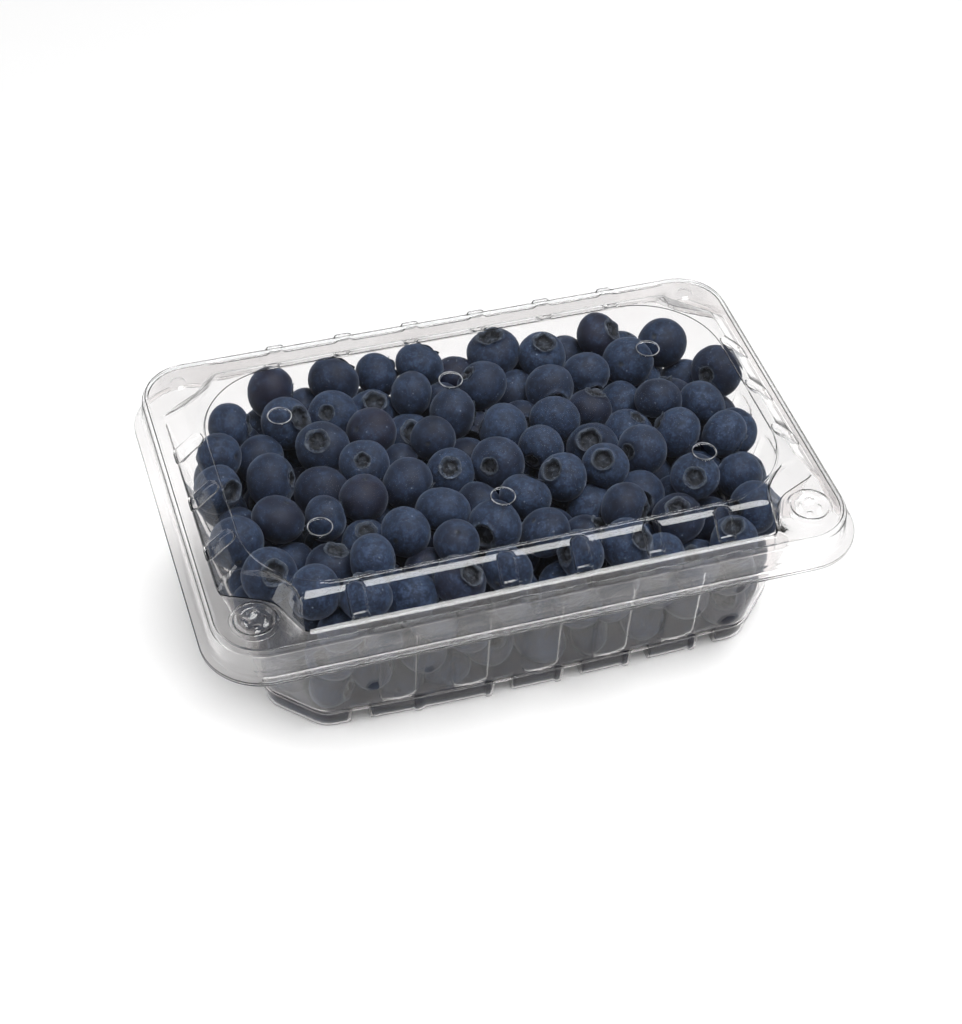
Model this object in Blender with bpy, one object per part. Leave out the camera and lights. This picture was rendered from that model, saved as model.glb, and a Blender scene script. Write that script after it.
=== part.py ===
"""Clear hinged punnet of blueberries: a tub on grooved feet, a domed lid on a hinge, and the fruit."""

import math
import random

import bmesh
import bpy
from mathutils import Matrix, Vector
from mathutils.geometry import delaunay_2d_cdt

# Overall sizes, in metres. Z = 0 is the surface that the feet stand on.
RIM_LENGTH = 0.184
RIM_WIDTH = 0.117
RIM_CORNER = 0.017
RIM_Z = 0.042  # underside of the lid's lip
WALL = 0.0005  # sheet thickness
GAP = 0.0003  # kept between pieces that touch
CUT = 0.0030  # how far a cutter reaches past what it cuts

# Lid: heights are above RIM_Z.
LIP_RUN = 0.0020
FLANGE_RISE = 0.0085
DOME_HALF_X = 0.0851
DOME_HALF_Y = 0.0510
DOME_INSET = 0.0094  # from the dome's foot in to the raised panel
PANEL_RISE = 0.0155
PANEL_CORNER = 0.0233
# Outside of the rim from the lip up to the flange: inset from the rim's outline, inset at the
# rear, where the flange runs out to the hinge, and rise.
RIM_STEPS = (
    (LIP_RUN, 0.0001, WALL),
    (0.0025, 0.0002, 0.0018),
    (0.0030, 0.0003, 0.0072),
    (0.0036, 0.0004, 0.0074),
    (0.0040, 0.0006, FLANGE_RISE),
)
# Outside of the dome from its foot to the raised panel: inset from DOME_HALF_*, rise, flute depth.
DOME_STEPS = (
    (0.0000, FLANGE_RISE, 0.0020),
    (0.0042, 0.0132, 0.0024),
    (0.0055, 0.0145, 0.0026),
    (0.0089, PANEL_RISE - 0.0005, 0.0),
    (DOME_INSET, PANEL_RISE, 0.0),
)
FIRST_PANEL_STEP = 3  # from this dome step inwards the corners are plain arcs

FLUTE_MOUTH = 0.0054
FLUTE_FLOOR = 0.0034
FLUTE_PITCH = 0.0204
FRONT_FLUTES = (-2.5, -0.5, 0.5, 1.5, 2.5)  # in pitches from the middle; one place stays plain
REAR_FLUTES = (-2.5, -1.5, -0.5, 0.5, 1.5, 2.5)
SIDE_FLUTE_PITCH = 0.0189
SIDE_FLUTES = (-1.0, 0.0, 1.0)
SIDE_FLUTE_SHIFT = 0.0007

# Snap buttons stand in scoops that cut the dome's front corners. The rear scoops are smaller.
BUTTON_AT = (0.0777, 0.0438)
BUTTON_RADIUS = 0.0062
BUTTON_RISE = 0.0012
BUTTON_TOP = 0.86  # radius at the top, as a part of the radius at the flange
DISH_SHARES = (0.5, 1.4)  # radius of the sunk middle's floor, and where its cutter ends above
REAR_NUB_AT = (0.0775, 0.0498)
REAR_NUB_RADIUS = 0.0027
NUB_TOP = 0.7
FRONT_SCOOP = {"at": BUTTON_AT, "radius": 0.0075, "edge_x": 0.0656, "edge_y": 0.0320}
REAR_SCOOP = {"at": REAR_NUB_AT, "radius": 0.0068, "edge_x": 0.0675, "edge_y": 0.0370}
SCOOP_FLARE = 1.05  # growth of a scoop's radius for each metre of inset

VENT_RADIUS = 0.0033
VENTS = ((-0.0545, 0.0221), (-0.0044, 0.0240), (0.0545, 0.0221))

# Tub: rises are above RIM_Z, and FOOT_ and CHANNEL_ heights are above the floor.
TUB_LIP_RISE = -GAP - WALL
TUB_FLANGE_RISE = FLANGE_RISE - WALL - GAP
TUB_MOUTH_INSET = WALL + 0.0004
MOUTH_PART = 0.02  # how far down the wall the flange's underside meets it
LIP_EASE = 0.0004  # more inset at the foot of the tub's rim and at its shoulder
SCOOP_FADE = 0.45  # part of the way down at which the scoops have turned into chamfers
FOOT_HEIGHT = 0.0063
FOOT_INSET = 0.0002
FOOT_TAPER = 0.0003  # more inset at the foot's underside
FOOT_EDGE = 0.0004  # height of the eased edge between the foot and the step
STEP_HALF_X = 0.0745
STEP_HALF_Y = 0.0438
STEP_SHIFT = 0.0019  # the lower tub sits this far to the right of the rim
STEP_CHAMFER = 0.0130
STEP_LEDGE = 0.0003  # how far the step stands out under the wall
STEP_BOW = 0.0012
CHANNEL_WIDTH = 0.0052
CHANNEL_DEPTH = 0.0055
PILLOW_PLACES = (-2.0, -1.0, 0.0, 1.0, 2.0)  # in flute pitches
END_PILLOW_PLACES = (-0.5, 0.5)  # in side flute pitches
PILLOW_HALF = 0.0050
PILLOW_PROUD = 0.0008
PILLOW_RAMP = 0.0007
# Levels of the wall, each from the mouth (rise) or from the step (height), and the pillows' share there.
PILLOW_TOP = ((-0.0010, 0.0), (-0.0040, 1.0))
PILLOW_FOOT = ((0.0035, 1.0), (0.0012, 0.0))
PAD_START = 0.0050  # a pad on the foot runs from beside a pillow up to the next channel
PAD_PROUD = 0.0007
PAD_TOP_GAP = 0.0008  # the pad ends this far below the step
CHAMFER_SHARE = 0.6  # change of a chamfer's size for each metre that its outline moves in

# Heap of fruit.
BERRY_RADIUS = 0.0080
BERRY_PITCH_X = 0.0146
BERRY_PITCH_Y = 0.0128
HEAP_CLEARANCE = 0.0016
HEAP_CREST = 0.0124  # top of the heap above RIM_Z
HEAP_REAR_DROP = 0.0095
HEAP_REAR_START = 0.012  # y where the drop begins, and over what run it is complete
HEAP_REAR_RUN = 0.030
HEAP_END_DROP = 0.0035
HEAP_END_START = 0.060
HEAP_END_RUN = 0.020
HEAP_ROWS = 7
HEAP_ROW_COUNT = 11  # berries in the first row; every other row has one fewer
HEAP_CORNER = (0.063, 0.030)  # beyond both, the corner holds no berry of its own
HEAP_SEED = 5
ROW_SCATTER = 0.0010
DEPTH_SCATTER = 0.0006
HEIGHT_SCATTER = 0.0022
RADIUS_SCATTER = (0.92, 1.04)
# Where the top is measured on each berry: part of its radius, number of points.
TOP_RINGS = ((0.0, 1), (0.50, 6), (0.90, 9))
TOP_POINT_SPACING = 0.0019
VALLEY_RISE = 0.0010

ROUND_SEGMENTS = 16
CORNER_POINTS = 8
CHAMFER_EASE = 0.2  # eased length at each edge of a chamfer, as a part of its size
CORNER_START_X = 0.0540
CORNER_START_Y = 0.0234

COLLECTION_NAME = "blueberry_punnet"
CUTTER_COLLECTION_NAME = "cutters"


def clear_scene():
    for item in list(bpy.data.objects):
        bpy.data.objects.remove(item, do_unlink=True)


def collection(name):
    made = bpy.data.collections.new(name)
    bpy.context.scene.collection.children.link(made)
    return made


def material(name, colour, roughness, alpha=1.0):
    made = bpy.data.materials.new(name)
    made.use_nodes = True
    shader = made.node_tree.nodes["Principled BSDF"]
    shader.inputs["Base Color"].default_value = (*colour, 1.0)
    shader.inputs["Roughness"].default_value = roughness
    shader.inputs["Metallic"].default_value = 0.0
    shader.inputs["Alpha"].default_value = alpha
    made.diffuse_color = (*colour, alpha)
    return made


def new_object(name, mesh, home, finish=None):
    made = bpy.data.objects.new(name, mesh)
    home.objects.link(made)
    if finish:
        mesh.materials.append(finish)
    return made


def arc(centre, radius, start, end, count):
    """Points on an arc, angles in degrees."""
    turns = [math.radians(start + (end - start) * i / (count - 1)) for i in range(count)]
    return [(centre[0] + radius * math.cos(turn), centre[1] + radius * math.sin(turn)) for turn in turns]


def round_corner(half_x, half_y, radius):
    """A quarter of a rounded rectangle from the long side to the end, in the quadrant with x, y > 0."""
    centre = (half_x - radius, half_y - radius)
    start = math.degrees(math.acos(max(0.0, (CORNER_START_X - centre[0]) / radius)))
    end = math.degrees(math.asin(max(0.0, (CORNER_START_Y - centre[1]) / radius)))
    points = arc(centre, radius, start, end, CORNER_POINTS)
    return [(CORNER_START_X, points[0][1])] + points + [(points[-1][0], CORNER_START_Y)]


def scoop_corner(half_x, half_y, inset, scoop):
    """The same quarter with its corner cut away round a button, as two tangents to an arc."""
    at = Vector(scoop["at"])
    ends = (Vector((scoop["edge_x"], half_y)), Vector((half_x, scoop["edge_y"] - inset * 0.5)))
    nearest = min((end - at).length for end in ends)
    radius = min(scoop["radius"] + SCOOP_FLARE * inset, 0.98 * nearest)
    turns = []
    for end, side in zip(ends, (1.0, -1.0)):
        away = end - at
        reach = math.acos(min(1.0, radius / away.length))
        turns.append(math.degrees(math.atan2(away.y, away.x) + side * reach))
    turns = [turn + 360.0 if turn < 0.0 else turn for turn in turns]
    middle = arc(at, radius, turns[0], turns[1], CORNER_POINTS)
    return [tuple(ends[0])] + middle + [tuple(ends[1])]


def chamfer_corner(half_x, half_y, size):
    """The same quarter with its corner cut at 45 degrees and both edges of the cut eased."""
    ease = size * CHAMFER_EASE
    first = (half_x - size, half_y)
    last = (half_x, half_y - size)
    per_edge = CORNER_POINTS // 2
    points = []
    for corner, before, after in (
        (Vector(first), Vector((-1.0, 0.0)), Vector((1.0, -1.0)).normalized()),
        (Vector(last), Vector((-1.0, 1.0)).normalized(), Vector((0.0, -1.0))),
    ):
        start = corner + before * ease
        end = corner + after * ease
        for i in range(per_edge):
            part = i / (per_edge - 1)
            point = start * (1 - part) ** 2 + corner * 2 * part * (1 - part) + end * part**2
            points.append(tuple(point))
    return [(CORNER_START_X, half_y)] + points + [(half_x, CORNER_START_Y)]


def mixed(first, second, part):
    return [
        (a[0] * (1 - part) + b[0] * part, a[1] * (1 - part) + b[1] * part) for a, b in zip(first, second)
    ]


def side_height(corner, along_y, at):
    """How far out a side lies at this place, following the corner's arc where it has already begun."""
    points = [(y, x) for x, y in reversed(corner)] if along_y else corner
    if abs(at) <= points[0][0]:
        return points[0][1]
    for (x0, y0), (x1, y1) in zip(points, points[1:]):
        if x0 <= abs(at) <= x1:
            return y0 + (y1 - y0) * (abs(at) - x0) / (x1 - x0)
    return points[-1][1]


def side_stations(features, corner, along_y=False):
    """Points (along, out) of one side. A feature is (centre, mouth, floor, how far its floor stands out)."""
    points = []
    for centre, mouth, floor, proud in features:
        for offset, out in ((-mouth / 2, 0.0), (-floor / 2, proud), (floor / 2, proud), (mouth / 2, 0.0)):
            at = centre + offset
            points.append((at, side_height(corner, along_y, at) + out))
    return points


def ring(z, front_corner, rear_corner, front=(), rear=(), ends=(), bow=0.0):
    """A closed outline at height z, anticlockwise from above, as 3-D points."""
    reach = front_corner[0][0]

    def bowed(x):
        return bow * max(0.0, 1.0 - (x / reach) ** 2)

    points = [(x, -out - bowed(x)) for x, out in side_stations(front, front_corner)]
    points += [(x, -y) for x, y in front_corner]
    points += [(out, y) for y, out in side_stations(ends, front_corner, True)]
    points += [(x, y) for x, y in reversed(rear_corner)]
    points += [(x, out + bowed(x)) for x, out in reversed(side_stations(rear, rear_corner))]
    points += [(-x, y) for x, y in rear_corner]
    points += [(-out, y) for y, out in reversed(side_stations(ends, rear_corner, True))]
    points += [(-x, -y) for x, y in reversed(front_corner)]
    return [Vector((x, y, z)) for x, y in points]


def shifted(points, share):
    """An outline of the tub moved to the right by this share of the lower tub's shift."""
    return [point + Vector((STEP_SHIFT * share, 0.0, 0.0)) for point in points]


def loft(name, rings, home, finish=None):
    """A closed solid through rings of equal length, from the bottom ring up or in, with flat ends."""
    shape = bmesh.new()
    loops = [[shape.verts.new(point) for point in points] for points in rings]
    for lower, upper in zip(loops, loops[1:]):
        for i in range(len(lower)):
            j = (i + 1) % len(lower)
            shape.faces.new((lower[i], lower[j], upper[j], upper[i]))
    shape.faces.new(list(reversed(loops[0])))
    shape.faces.new(loops[-1])
    bmesh.ops.remove_doubles(shape, verts=shape.verts, dist=1e-7)
    bmesh.ops.recalc_face_normals(shape, faces=shape.faces)
    mesh = bpy.data.meshes.new(name)
    shape.to_mesh(mesh)
    shape.free()
    return new_object(name, mesh, home, finish)


def combine(target, other, operation):
    step = target.modifiers.new(other.name, "BOOLEAN")
    step.operation = operation
    step.solver = "EXACT"
    step.object = other
    other.hide_render = True
    other.display_type = "WIRE"


def primitive(name, home, make, matrix):
    shape = bmesh.new()
    make(shape)
    bmesh.ops.transform(shape, matrix=matrix, verts=shape.verts)
    mesh = bpy.data.meshes.new(name)
    shape.to_mesh(mesh)
    shape.free()
    return new_object(name, mesh, home)


def round_bar(name, home, centre, radius, low, high, top_radius=None):
    return primitive(
        name,
        home,
        lambda shape: bmesh.ops.create_cone(
            shape,
            cap_ends=True,
            segments=ROUND_SEGMENTS,
            radius1=radius,
            radius2=radius if top_radius is None else top_radius,
            depth=high - low,
        ),
        Matrix.Translation((centre[0], centre[1], (low + high) / 2)),
    )


def box(name, home, low, high):
    size = [b - a for a, b in zip(low, high)]
    middle = [(a + b) / 2 for a, b in zip(low, high)]
    return primitive(
        name,
        home,
        lambda shape: bmesh.ops.create_cube(shape, size=1.0),
        Matrix.Translation(middle) @ Matrix.Diagonal((*size, 1.0)),
    )


def flutes(places, pitch, shift, depth, growth):
    return [
        (place * pitch + shift, FLUTE_MOUTH + growth, FLUTE_FLOOR + growth, -depth) for place in places
    ]


def lid_flute_sets(depth, growth=0.0):
    return {
        "front": flutes(FRONT_FLUTES, FLUTE_PITCH, 0.0, depth, growth),
        "rear": flutes(REAR_FLUTES, FLUTE_PITCH, 0.0, depth, growth),
        "ends": flutes(SIDE_FLUTES, SIDE_FLUTE_PITCH, SIDE_FLUTE_SHIFT, depth, growth),
    }


def rim_corners(inset, rear_inset):
    half_x = RIM_LENGTH / 2 - inset
    return [round_corner(half_x, RIM_WIDTH / 2 - depth, RIM_CORNER - inset) for depth in (inset, rear_inset)]


def rim_ring(inset, rear_inset, z):
    return ring(z, *rim_corners(inset, rear_inset), **lid_flute_sets(0.0))


def dome_ring(inset, z, depth, extra, panel):
    """One outline of the dome; extra is how far inside the outer surface it runs."""
    half_x = DOME_HALF_X - inset - extra
    half_y = DOME_HALF_Y - inset - extra
    if panel:
        corner = round_corner(half_x, half_y, PANEL_CORNER + DOME_INSET - inset - extra)
        corners = (corner, corner)
    else:
        corners = [scoop_corner(half_x, half_y, inset + extra, scoop) for scoop in (FRONT_SCOOP, REAR_SCOOP)]
    return ring(z, *corners, **lid_flute_sets(depth, 2 * extra if depth else 0.0))


def lid_rings():
    outside = [rim_ring(0.0, 0.0, RIM_Z), rim_ring(0.0, 0.0, RIM_Z + WALL)]
    outside += [rim_ring(inset, rear, RIM_Z + rise) for inset, rear, rise in RIM_STEPS]
    outside += [
        dome_ring(inset, RIM_Z + rise, depth, 0.0, i >= FIRST_PANEL_STEP)
        for i, (inset, rise, depth) in enumerate(DOME_STEPS)
    ]
    return outside


def lid_cavity_rings():
    """The room under the lid, from below its lip up to the underside of the panel."""
    first, *middle, last = [(inset + WALL, rear + WALL, rise) for inset, rear, rise in RIM_STEPS]
    inside = [rim_ring(*first[:2], RIM_Z - CUT), rim_ring(*first[:2], RIM_Z)]
    inside += [rim_ring(inset, rear, RIM_Z + rise - WALL / 2) for inset, rear, rise in middle]
    inside.append(rim_ring(*last[:2], RIM_Z + FLANGE_RISE - WALL))
    for i, (inset, rise, depth) in enumerate(DOME_STEPS[:-1]):
        drop = WALL if i in (0, FIRST_PANEL_STEP) else WALL / 2
        inside.append(dome_ring(inset, RIM_Z + rise - drop, depth, WALL, i >= FIRST_PANEL_STEP))
    return inside


def add_buttons(lid, cutters, base):
    """A raised ring with a sunk middle at each front corner, and a low nub at each rear corner."""
    for side in (-1, 1):
        centre = (side * BUTTON_AT[0], -BUTTON_AT[1])
        name = f"button_{side}"
        top = base + BUTTON_RISE
        radius = BUTTON_RADIUS
        outer = round_bar(name, cutters, centre, radius, base - WALL / 2, top, radius * BUTTON_TOP)
        combine(lid, outer, "UNION")
        low, high = (radius * share for share in DISH_SHARES)
        dish = round_bar(f"{name}_dish", cutters, centre, low, base + WALL / 3, top + CUT, high)
        combine(lid, dish, "DIFFERENCE")
        nub_centre = (side * REAR_NUB_AT[0], REAR_NUB_AT[1])
        nub_top = base + BUTTON_RISE / 2
        radius = REAR_NUB_RADIUS
        low = base - WALL / 2
        nub = round_bar(f"nub_{side}", cutters, nub_centre, radius, low, nub_top, radius * NUB_TOP)
        combine(lid, nub, "UNION")


def build_lid(home, cutters, finish):
    lid = loft("lid", lid_rings(), home, finish)
    cavity = loft("lid_cavity", lid_cavity_rings(), cutters)
    combine(lid, cavity, "DIFFERENCE")
    add_buttons(lid, cutters, RIM_Z + FLANGE_RISE)
    panel = RIM_Z + PANEL_RISE
    for row in (-1, 1):
        for i, (x, y) in enumerate(VENTS):
            name = f"vent_{row}_{i}"
            vent = round_bar(name, cutters, (x, row * y), VENT_RADIUS, panel - CUT, panel + CUT)
            combine(lid, vent, "DIFFERENCE")
    return lid


def pillow_sets(proud):
    mouth = 2 * (PILLOW_HALF + PILLOW_RAMP)
    face = 2 * (PILLOW_HALF - PILLOW_RAMP)
    long_side = [(place * FLUTE_PITCH, mouth, face, proud) for place in PILLOW_PLACES]
    ends = [
        (place * SIDE_FLUTE_PITCH + SIDE_FLUTE_SHIFT, mouth - 2 * PILLOW_RAMP, face - PILLOW_RAMP, proud)
        for place in END_PILLOW_PLACES
    ]
    return {"front": long_side, "rear": long_side, "ends": ends}


def tub_rim_ring(inset, rear_inset, z):
    return ring(z, *rim_corners(inset, rear_inset), **pillow_sets(0.0))


def tub_wall_ring(part, z, proud, extra):
    """One outline of the tub's wall: part runs from 0 at the mouth to 1 at the step above the feet."""
    mouth_x = DOME_HALF_X - TUB_MOUTH_INSET
    mouth_y = DOME_HALF_Y - TUB_MOUTH_INSET
    half_x = mouth_x + (STEP_HALF_X - mouth_x) * part - extra
    half_y = mouth_y + (STEP_HALF_Y - mouth_y) * part - extra
    chamfer = chamfer_corner(half_x, half_y, STEP_CHAMFER - CHAMFER_SHARE * extra)
    fade = min(1.0, part / SCOOP_FADE)
    corners = []
    for scoop in (FRONT_SCOOP, REAR_SCOOP):
        scooped = scoop_corner(half_x, half_y, TUB_MOUTH_INSET + extra, scoop)
        corners.append(mixed(scooped, chamfer, fade))
    return shifted(ring(z, *corners, bow=STEP_BOW * part, **pillow_sets(proud)), part)


def foot_ring(z, inset):
    corner = chamfer_corner(STEP_HALF_X - inset, STEP_HALF_Y - inset, STEP_CHAMFER - CHAMFER_SHARE * inset)
    return shifted(ring(z, corner, corner, bow=STEP_BOW, **pillow_sets(0.0)), 1.0)


def tub_wall_levels():
    """From the top down: the part of the way down, the rise and how far the pillows stand out."""
    mouth = TUB_FLANGE_RISE
    step = FOOT_HEIGHT - RIM_Z
    levels = PILLOW_TOP + tuple((step + height, share) for height, share in PILLOW_FOOT)
    return [((mouth - rise) / (mouth - step), rise, share * PILLOW_PROUD) for rise, share in levels]


def tub_outer_rings():
    """The tub's outside from the feet up to the mouth, out under the flange and over the rim."""
    rings = [foot_ring(0.0, FOOT_INSET + FOOT_TAPER), foot_ring(FOOT_HEIGHT - FOOT_EDGE, FOOT_INSET)]
    rings.append(tub_wall_ring(1.0, FOOT_HEIGHT, 0.0, -STEP_LEDGE))
    levels = reversed(tub_wall_levels())
    rings += [tub_wall_ring(part, RIM_Z + rise, proud, 0.0) for part, rise, proud in levels]
    flange = RIM_Z + TUB_FLANGE_RISE
    rings.append(tub_wall_ring(MOUTH_PART, flange - WALL, 0.0, 0.0))
    skirt = WALL + GAP
    steps = [(inset + skirt, rear + skirt, rise - skirt) for inset, rear, rise in RIM_STEPS]
    foot, lower, upper, shoulder, top = steps
    lip = RIM_Z + TUB_LIP_RISE
    rings.append(tub_rim_ring(top[0] + WALL, top[1] + WALL, flange - WALL))
    rings.append(tub_rim_ring(upper[0] + WALL, upper[1] + WALL, RIM_Z + upper[2] - WALL))
    rings.append(tub_rim_ring(lower[0] + WALL, lower[1] + WALL, lip))
    rings.append(tub_rim_ring(0.0, 0.0, lip))
    rings.append(tub_rim_ring(0.0, 0.0, lip + WALL))
    rings.append(tub_rim_ring(foot[0] + LIP_EASE, foot[1] + LIP_EASE / 2, lip + WALL))
    rings.append(tub_rim_ring(*upper[:2], RIM_Z + upper[2]))
    rings.append(tub_rim_ring(shoulder[0] + LIP_EASE, shoulder[1] + LIP_EASE, flange))
    return rings


def tub_cavity_rings():
    """The room inside the tub, from its floor to above its mouth."""
    inset = FOOT_INSET + WALL
    inside = [foot_ring(WALL, inset + FOOT_TAPER), foot_ring(FOOT_HEIGHT - FOOT_EDGE, inset)]
    inside.append(tub_wall_ring(1.0, FOOT_HEIGHT, 0.0, WALL))
    levels = reversed(tub_wall_levels())
    inside += [tub_wall_ring(part, RIM_Z + rise, proud, WALL) for part, rise, proud in levels]
    flange = RIM_Z + TUB_FLANGE_RISE
    inside += [tub_wall_ring(0.0, z, 0.0, WALL) for z in (flange, flange + CUT)]
    return inside


def channel(name, home, place, growth):
    """A cutter for one groove that runs under the tub from front to rear."""
    centre = place * FLUTE_PITCH + STEP_SHIFT
    half = CHANNEL_WIDTH / 2 + growth
    low = (centre - half, -RIM_WIDTH / 2, -CUT)
    high = (centre + half, RIM_WIDTH / 2, CHANNEL_DEPTH + growth)
    return box(name, home, low, high)


def foot_pads(home):
    """Blocks that stand a little out of the front and rear faces of the foot."""
    pads = []
    for i, place in enumerate(PILLOW_PLACES):
        low_x = place * FLUTE_PITCH + PAD_START
        high_x = (place + 0.5) * FLUTE_PITCH - CHANNEL_WIDTH / 2 + WALL / 2
        bow = STEP_BOW * (1.0 - ((low_x + high_x) / 2 / CORNER_START_X) ** 2)
        face = STEP_HALF_Y - FOOT_INSET + bow + PAD_PROUD
        for side in (-1, 1):
            near, far = sorted((side * face, side * (face - 2 * PAD_PROUD)))
            low = (low_x + STEP_SHIFT, near, 0.0)
            high = (high_x + STEP_SHIFT, far, FOOT_HEIGHT - PAD_TOP_GAP)
            pads.append(box(f"pad_{i}_{side}", home, low, high))
    return pads


def build_tub(home, cutters, finish):
    tub = loft("tub", tub_outer_rings(), home, finish)
    for pad in foot_pads(cutters):
        combine(tub, pad, "UNION")
    cavity = loft("tub_cavity", tub_cavity_rings(), cutters)
    for i, place in enumerate(FRONT_FLUTES):
        combine(tub, channel(f"channel_{i}", cutters, place, 0.0), "DIFFERENCE")
        combine(cavity, channel(f"channel_{i}_inside", cutters, place, WALL), "DIFFERENCE")
    combine(tub, cavity, "DIFFERENCE")
    return tub


def heap_height(x, y):
    """Top of the heap above the rim: level under the lid, falling away at the rear and the ends."""
    rear = min(1.0, max(0.0, (y - HEAP_REAR_START) / HEAP_REAR_RUN))
    ends = min(1.0, max(0.0, (abs(x) - HEAP_END_START) / HEAP_END_RUN))
    return HEAP_CREST - HEAP_REAR_DROP * rear**2 - HEAP_END_DROP * ends**2


def berry_places():
    """Centres and radii of the top layer, in staggered rows with a little scatter."""
    scatter = random.Random(HEAP_SEED)
    places = []
    for row in range(HEAP_ROWS):
        y = (row - (HEAP_ROWS - 1) / 2) * BERRY_PITCH_Y
        count = HEAP_ROW_COUNT - row % 2
        for i in range(count):
            x = (i - (count - 1) / 2) * BERRY_PITCH_X + scatter.uniform(-ROW_SCATTER, ROW_SCATTER)
            radius = BERRY_RADIUS * scatter.uniform(*RADIUS_SCATTER)
            top = heap_height(x, y) - scatter.uniform(0.0, HEIGHT_SCATTER)
            in_corner = abs(x) > HEAP_CORNER[0] and abs(y) > HEAP_CORNER[1]
            if not in_corner:
                depth = y + scatter.uniform(-DEPTH_SCATTER, DEPTH_SCATTER)
                places.append((x, depth, RIM_Z + top - radius, radius))
    return places


def heap_rings():
    """Outlines of the fruit from the tub's floor up to where the top layer starts, clear of the wall."""
    extra = WALL + HEAP_CLEARANCE
    rings = [foot_ring(WALL + GAP, FOOT_INSET + extra), foot_ring(FOOT_HEIGHT, FOOT_INSET + extra)]
    rings += [tub_wall_ring(part, RIM_Z + rise, 0.0, extra) for part, rise, _ in reversed(tub_wall_levels())]
    return rings


def top_points(berries, outline):
    """Places in plan where the top of the heap is measured: each berry's crown and two rings round it."""
    points = []
    for x, y, _, radius in berries:
        for share, count in TOP_RINGS:
            for i in range(count):
                turn = 2 * math.pi * (i + 0.5 * share) / count
                point = Vector((x + share * radius * math.cos(turn), y + share * radius * math.sin(turn)))
                clear = all((point - other).length > TOP_POINT_SPACING for other in points + outline)
                if clear and within(point, outline):
                    points.append(point)
    return points


def within(point, outline):
    """Whether a point lies inside a closed outline, by counting the edges to its right."""
    crossings = 0
    for a, b in zip(outline, outline[1:] + outline[:1]):
        if (a.y > point.y) != (b.y > point.y):
            crossings += point.x < a.x + (b.x - a.x) * (point.y - a.y) / (b.y - a.y)
    return crossings % 2 == 1


def top_height(point, berries, floor):
    """Height of the highest berry over a place, or the valley floor where none covers it."""
    height = floor
    for x, y, z, radius in berries:
        reach = radius**2 - (point.x - x) ** 2 - (point.y - y) ** 2
        if reach > 0.0:
            height = max(height, z + math.sqrt(reach))
    return height


def build_berries(home, cutters, finish):
    """One closed solid: lofted sides, and a top of berry crowns joined by triangles."""
    rings = heap_rings()
    berries = berry_places()
    shape = bmesh.new()
    loops = [[shape.verts.new(point) for point in points] for points in rings]
    count = len(loops[0])
    for lower, upper in zip(loops, loops[1:]):
        for i in range(count):
            j = (i + 1) % count
            shape.faces.new((lower[i], lower[j], upper[j], upper[i]))
    shape.faces.new(list(reversed(loops[0])))
    outline = [Vector(point[:2]) for point in rings[-1]]
    rim = rings[-1][0].z
    flat = outline + top_points(berries, outline)
    edges = [(i, (i + 1) % count) for i in range(count)]
    places, _, faces, origins, _, _ = delaunay_2d_cdt(flat, edges, [], 1, 1e-6)
    top = []
    for place, origin in zip(places, origins):
        if origin and origin[0] < count:
            top.append(loops[-1][origin[0]])
        else:
            top.append(shape.verts.new((place.x, place.y, top_height(place, berries, rim + VALLEY_RISE))))
    for face in faces:
        shape.faces.new([top[i] for i in face])
    bmesh.ops.recalc_face_normals(shape, faces=shape.faces)
    mesh = bpy.data.meshes.new("berries")
    shape.to_mesh(mesh)
    shape.free()
    heap = new_object("berries", mesh, home, finish)
    for i, place in enumerate(FRONT_FLUTES):
        combine(heap, channel(f"heap_channel_{i}", cutters, place, WALL + GAP), "DIFFERENCE")
    return heap


def main():
    clear_scene()
    home = collection(COLLECTION_NAME)
    cutters = collection(CUTTER_COLLECTION_NAME)
    clear = material("clear_sheet", (0.86, 0.88, 0.89), 0.05, 0.35)
    clear_lid = material("clear_sheet_lid", (0.90, 0.92, 0.93), 0.05, 0.35)
    fruit = material("berry_skin", (0.045, 0.060, 0.115), 0.45)
    build_tub(home, cutters, clear)
    build_berries(home, cutters, fruit)
    hinge = bpy.data.objects.new("hinge_axis", None)
    hinge.location = (0.0, RIM_WIDTH / 2 + GAP, RIM_Z - GAP / 2)
    home.objects.link(hinge)
    lid = build_lid(home, cutters, clear_lid)
    lid.parent = hinge
    lid.matrix_parent_inverse = Matrix.Translation(hinge.location).inverted()


main()
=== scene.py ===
"""Clear hinged punnet of blueberries: the finished sheet plastic and the loose fruit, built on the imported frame."""

import logging
import math
from dataclasses import dataclass, field
from enum import Enum

import bmesh
import bpy
import numpy as np
from mathutils import Matrix, Vector, noise

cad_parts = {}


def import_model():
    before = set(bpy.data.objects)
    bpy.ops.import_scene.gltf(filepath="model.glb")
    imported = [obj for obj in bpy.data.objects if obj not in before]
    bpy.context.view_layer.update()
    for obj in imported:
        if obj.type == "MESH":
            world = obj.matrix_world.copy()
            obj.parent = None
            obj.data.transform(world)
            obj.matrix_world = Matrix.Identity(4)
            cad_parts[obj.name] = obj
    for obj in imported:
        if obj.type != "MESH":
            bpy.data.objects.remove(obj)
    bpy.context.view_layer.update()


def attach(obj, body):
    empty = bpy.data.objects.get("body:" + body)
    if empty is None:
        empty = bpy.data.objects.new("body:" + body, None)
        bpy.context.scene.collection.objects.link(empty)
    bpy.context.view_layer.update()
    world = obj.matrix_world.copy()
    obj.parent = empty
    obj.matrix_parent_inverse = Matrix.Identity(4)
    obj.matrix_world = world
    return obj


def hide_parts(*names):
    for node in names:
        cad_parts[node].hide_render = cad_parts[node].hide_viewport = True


LOG = logging.getLogger("punnet")

# Where a side ends and its corner begins, in plan.
SIDE_X = 0.0540
SIDE_Y = 0.0234


# ---------------------------------------------------------------------------------------------------------------
# Lines and outlines
# ---------------------------------------------------------------------------------------------------------------


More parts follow.
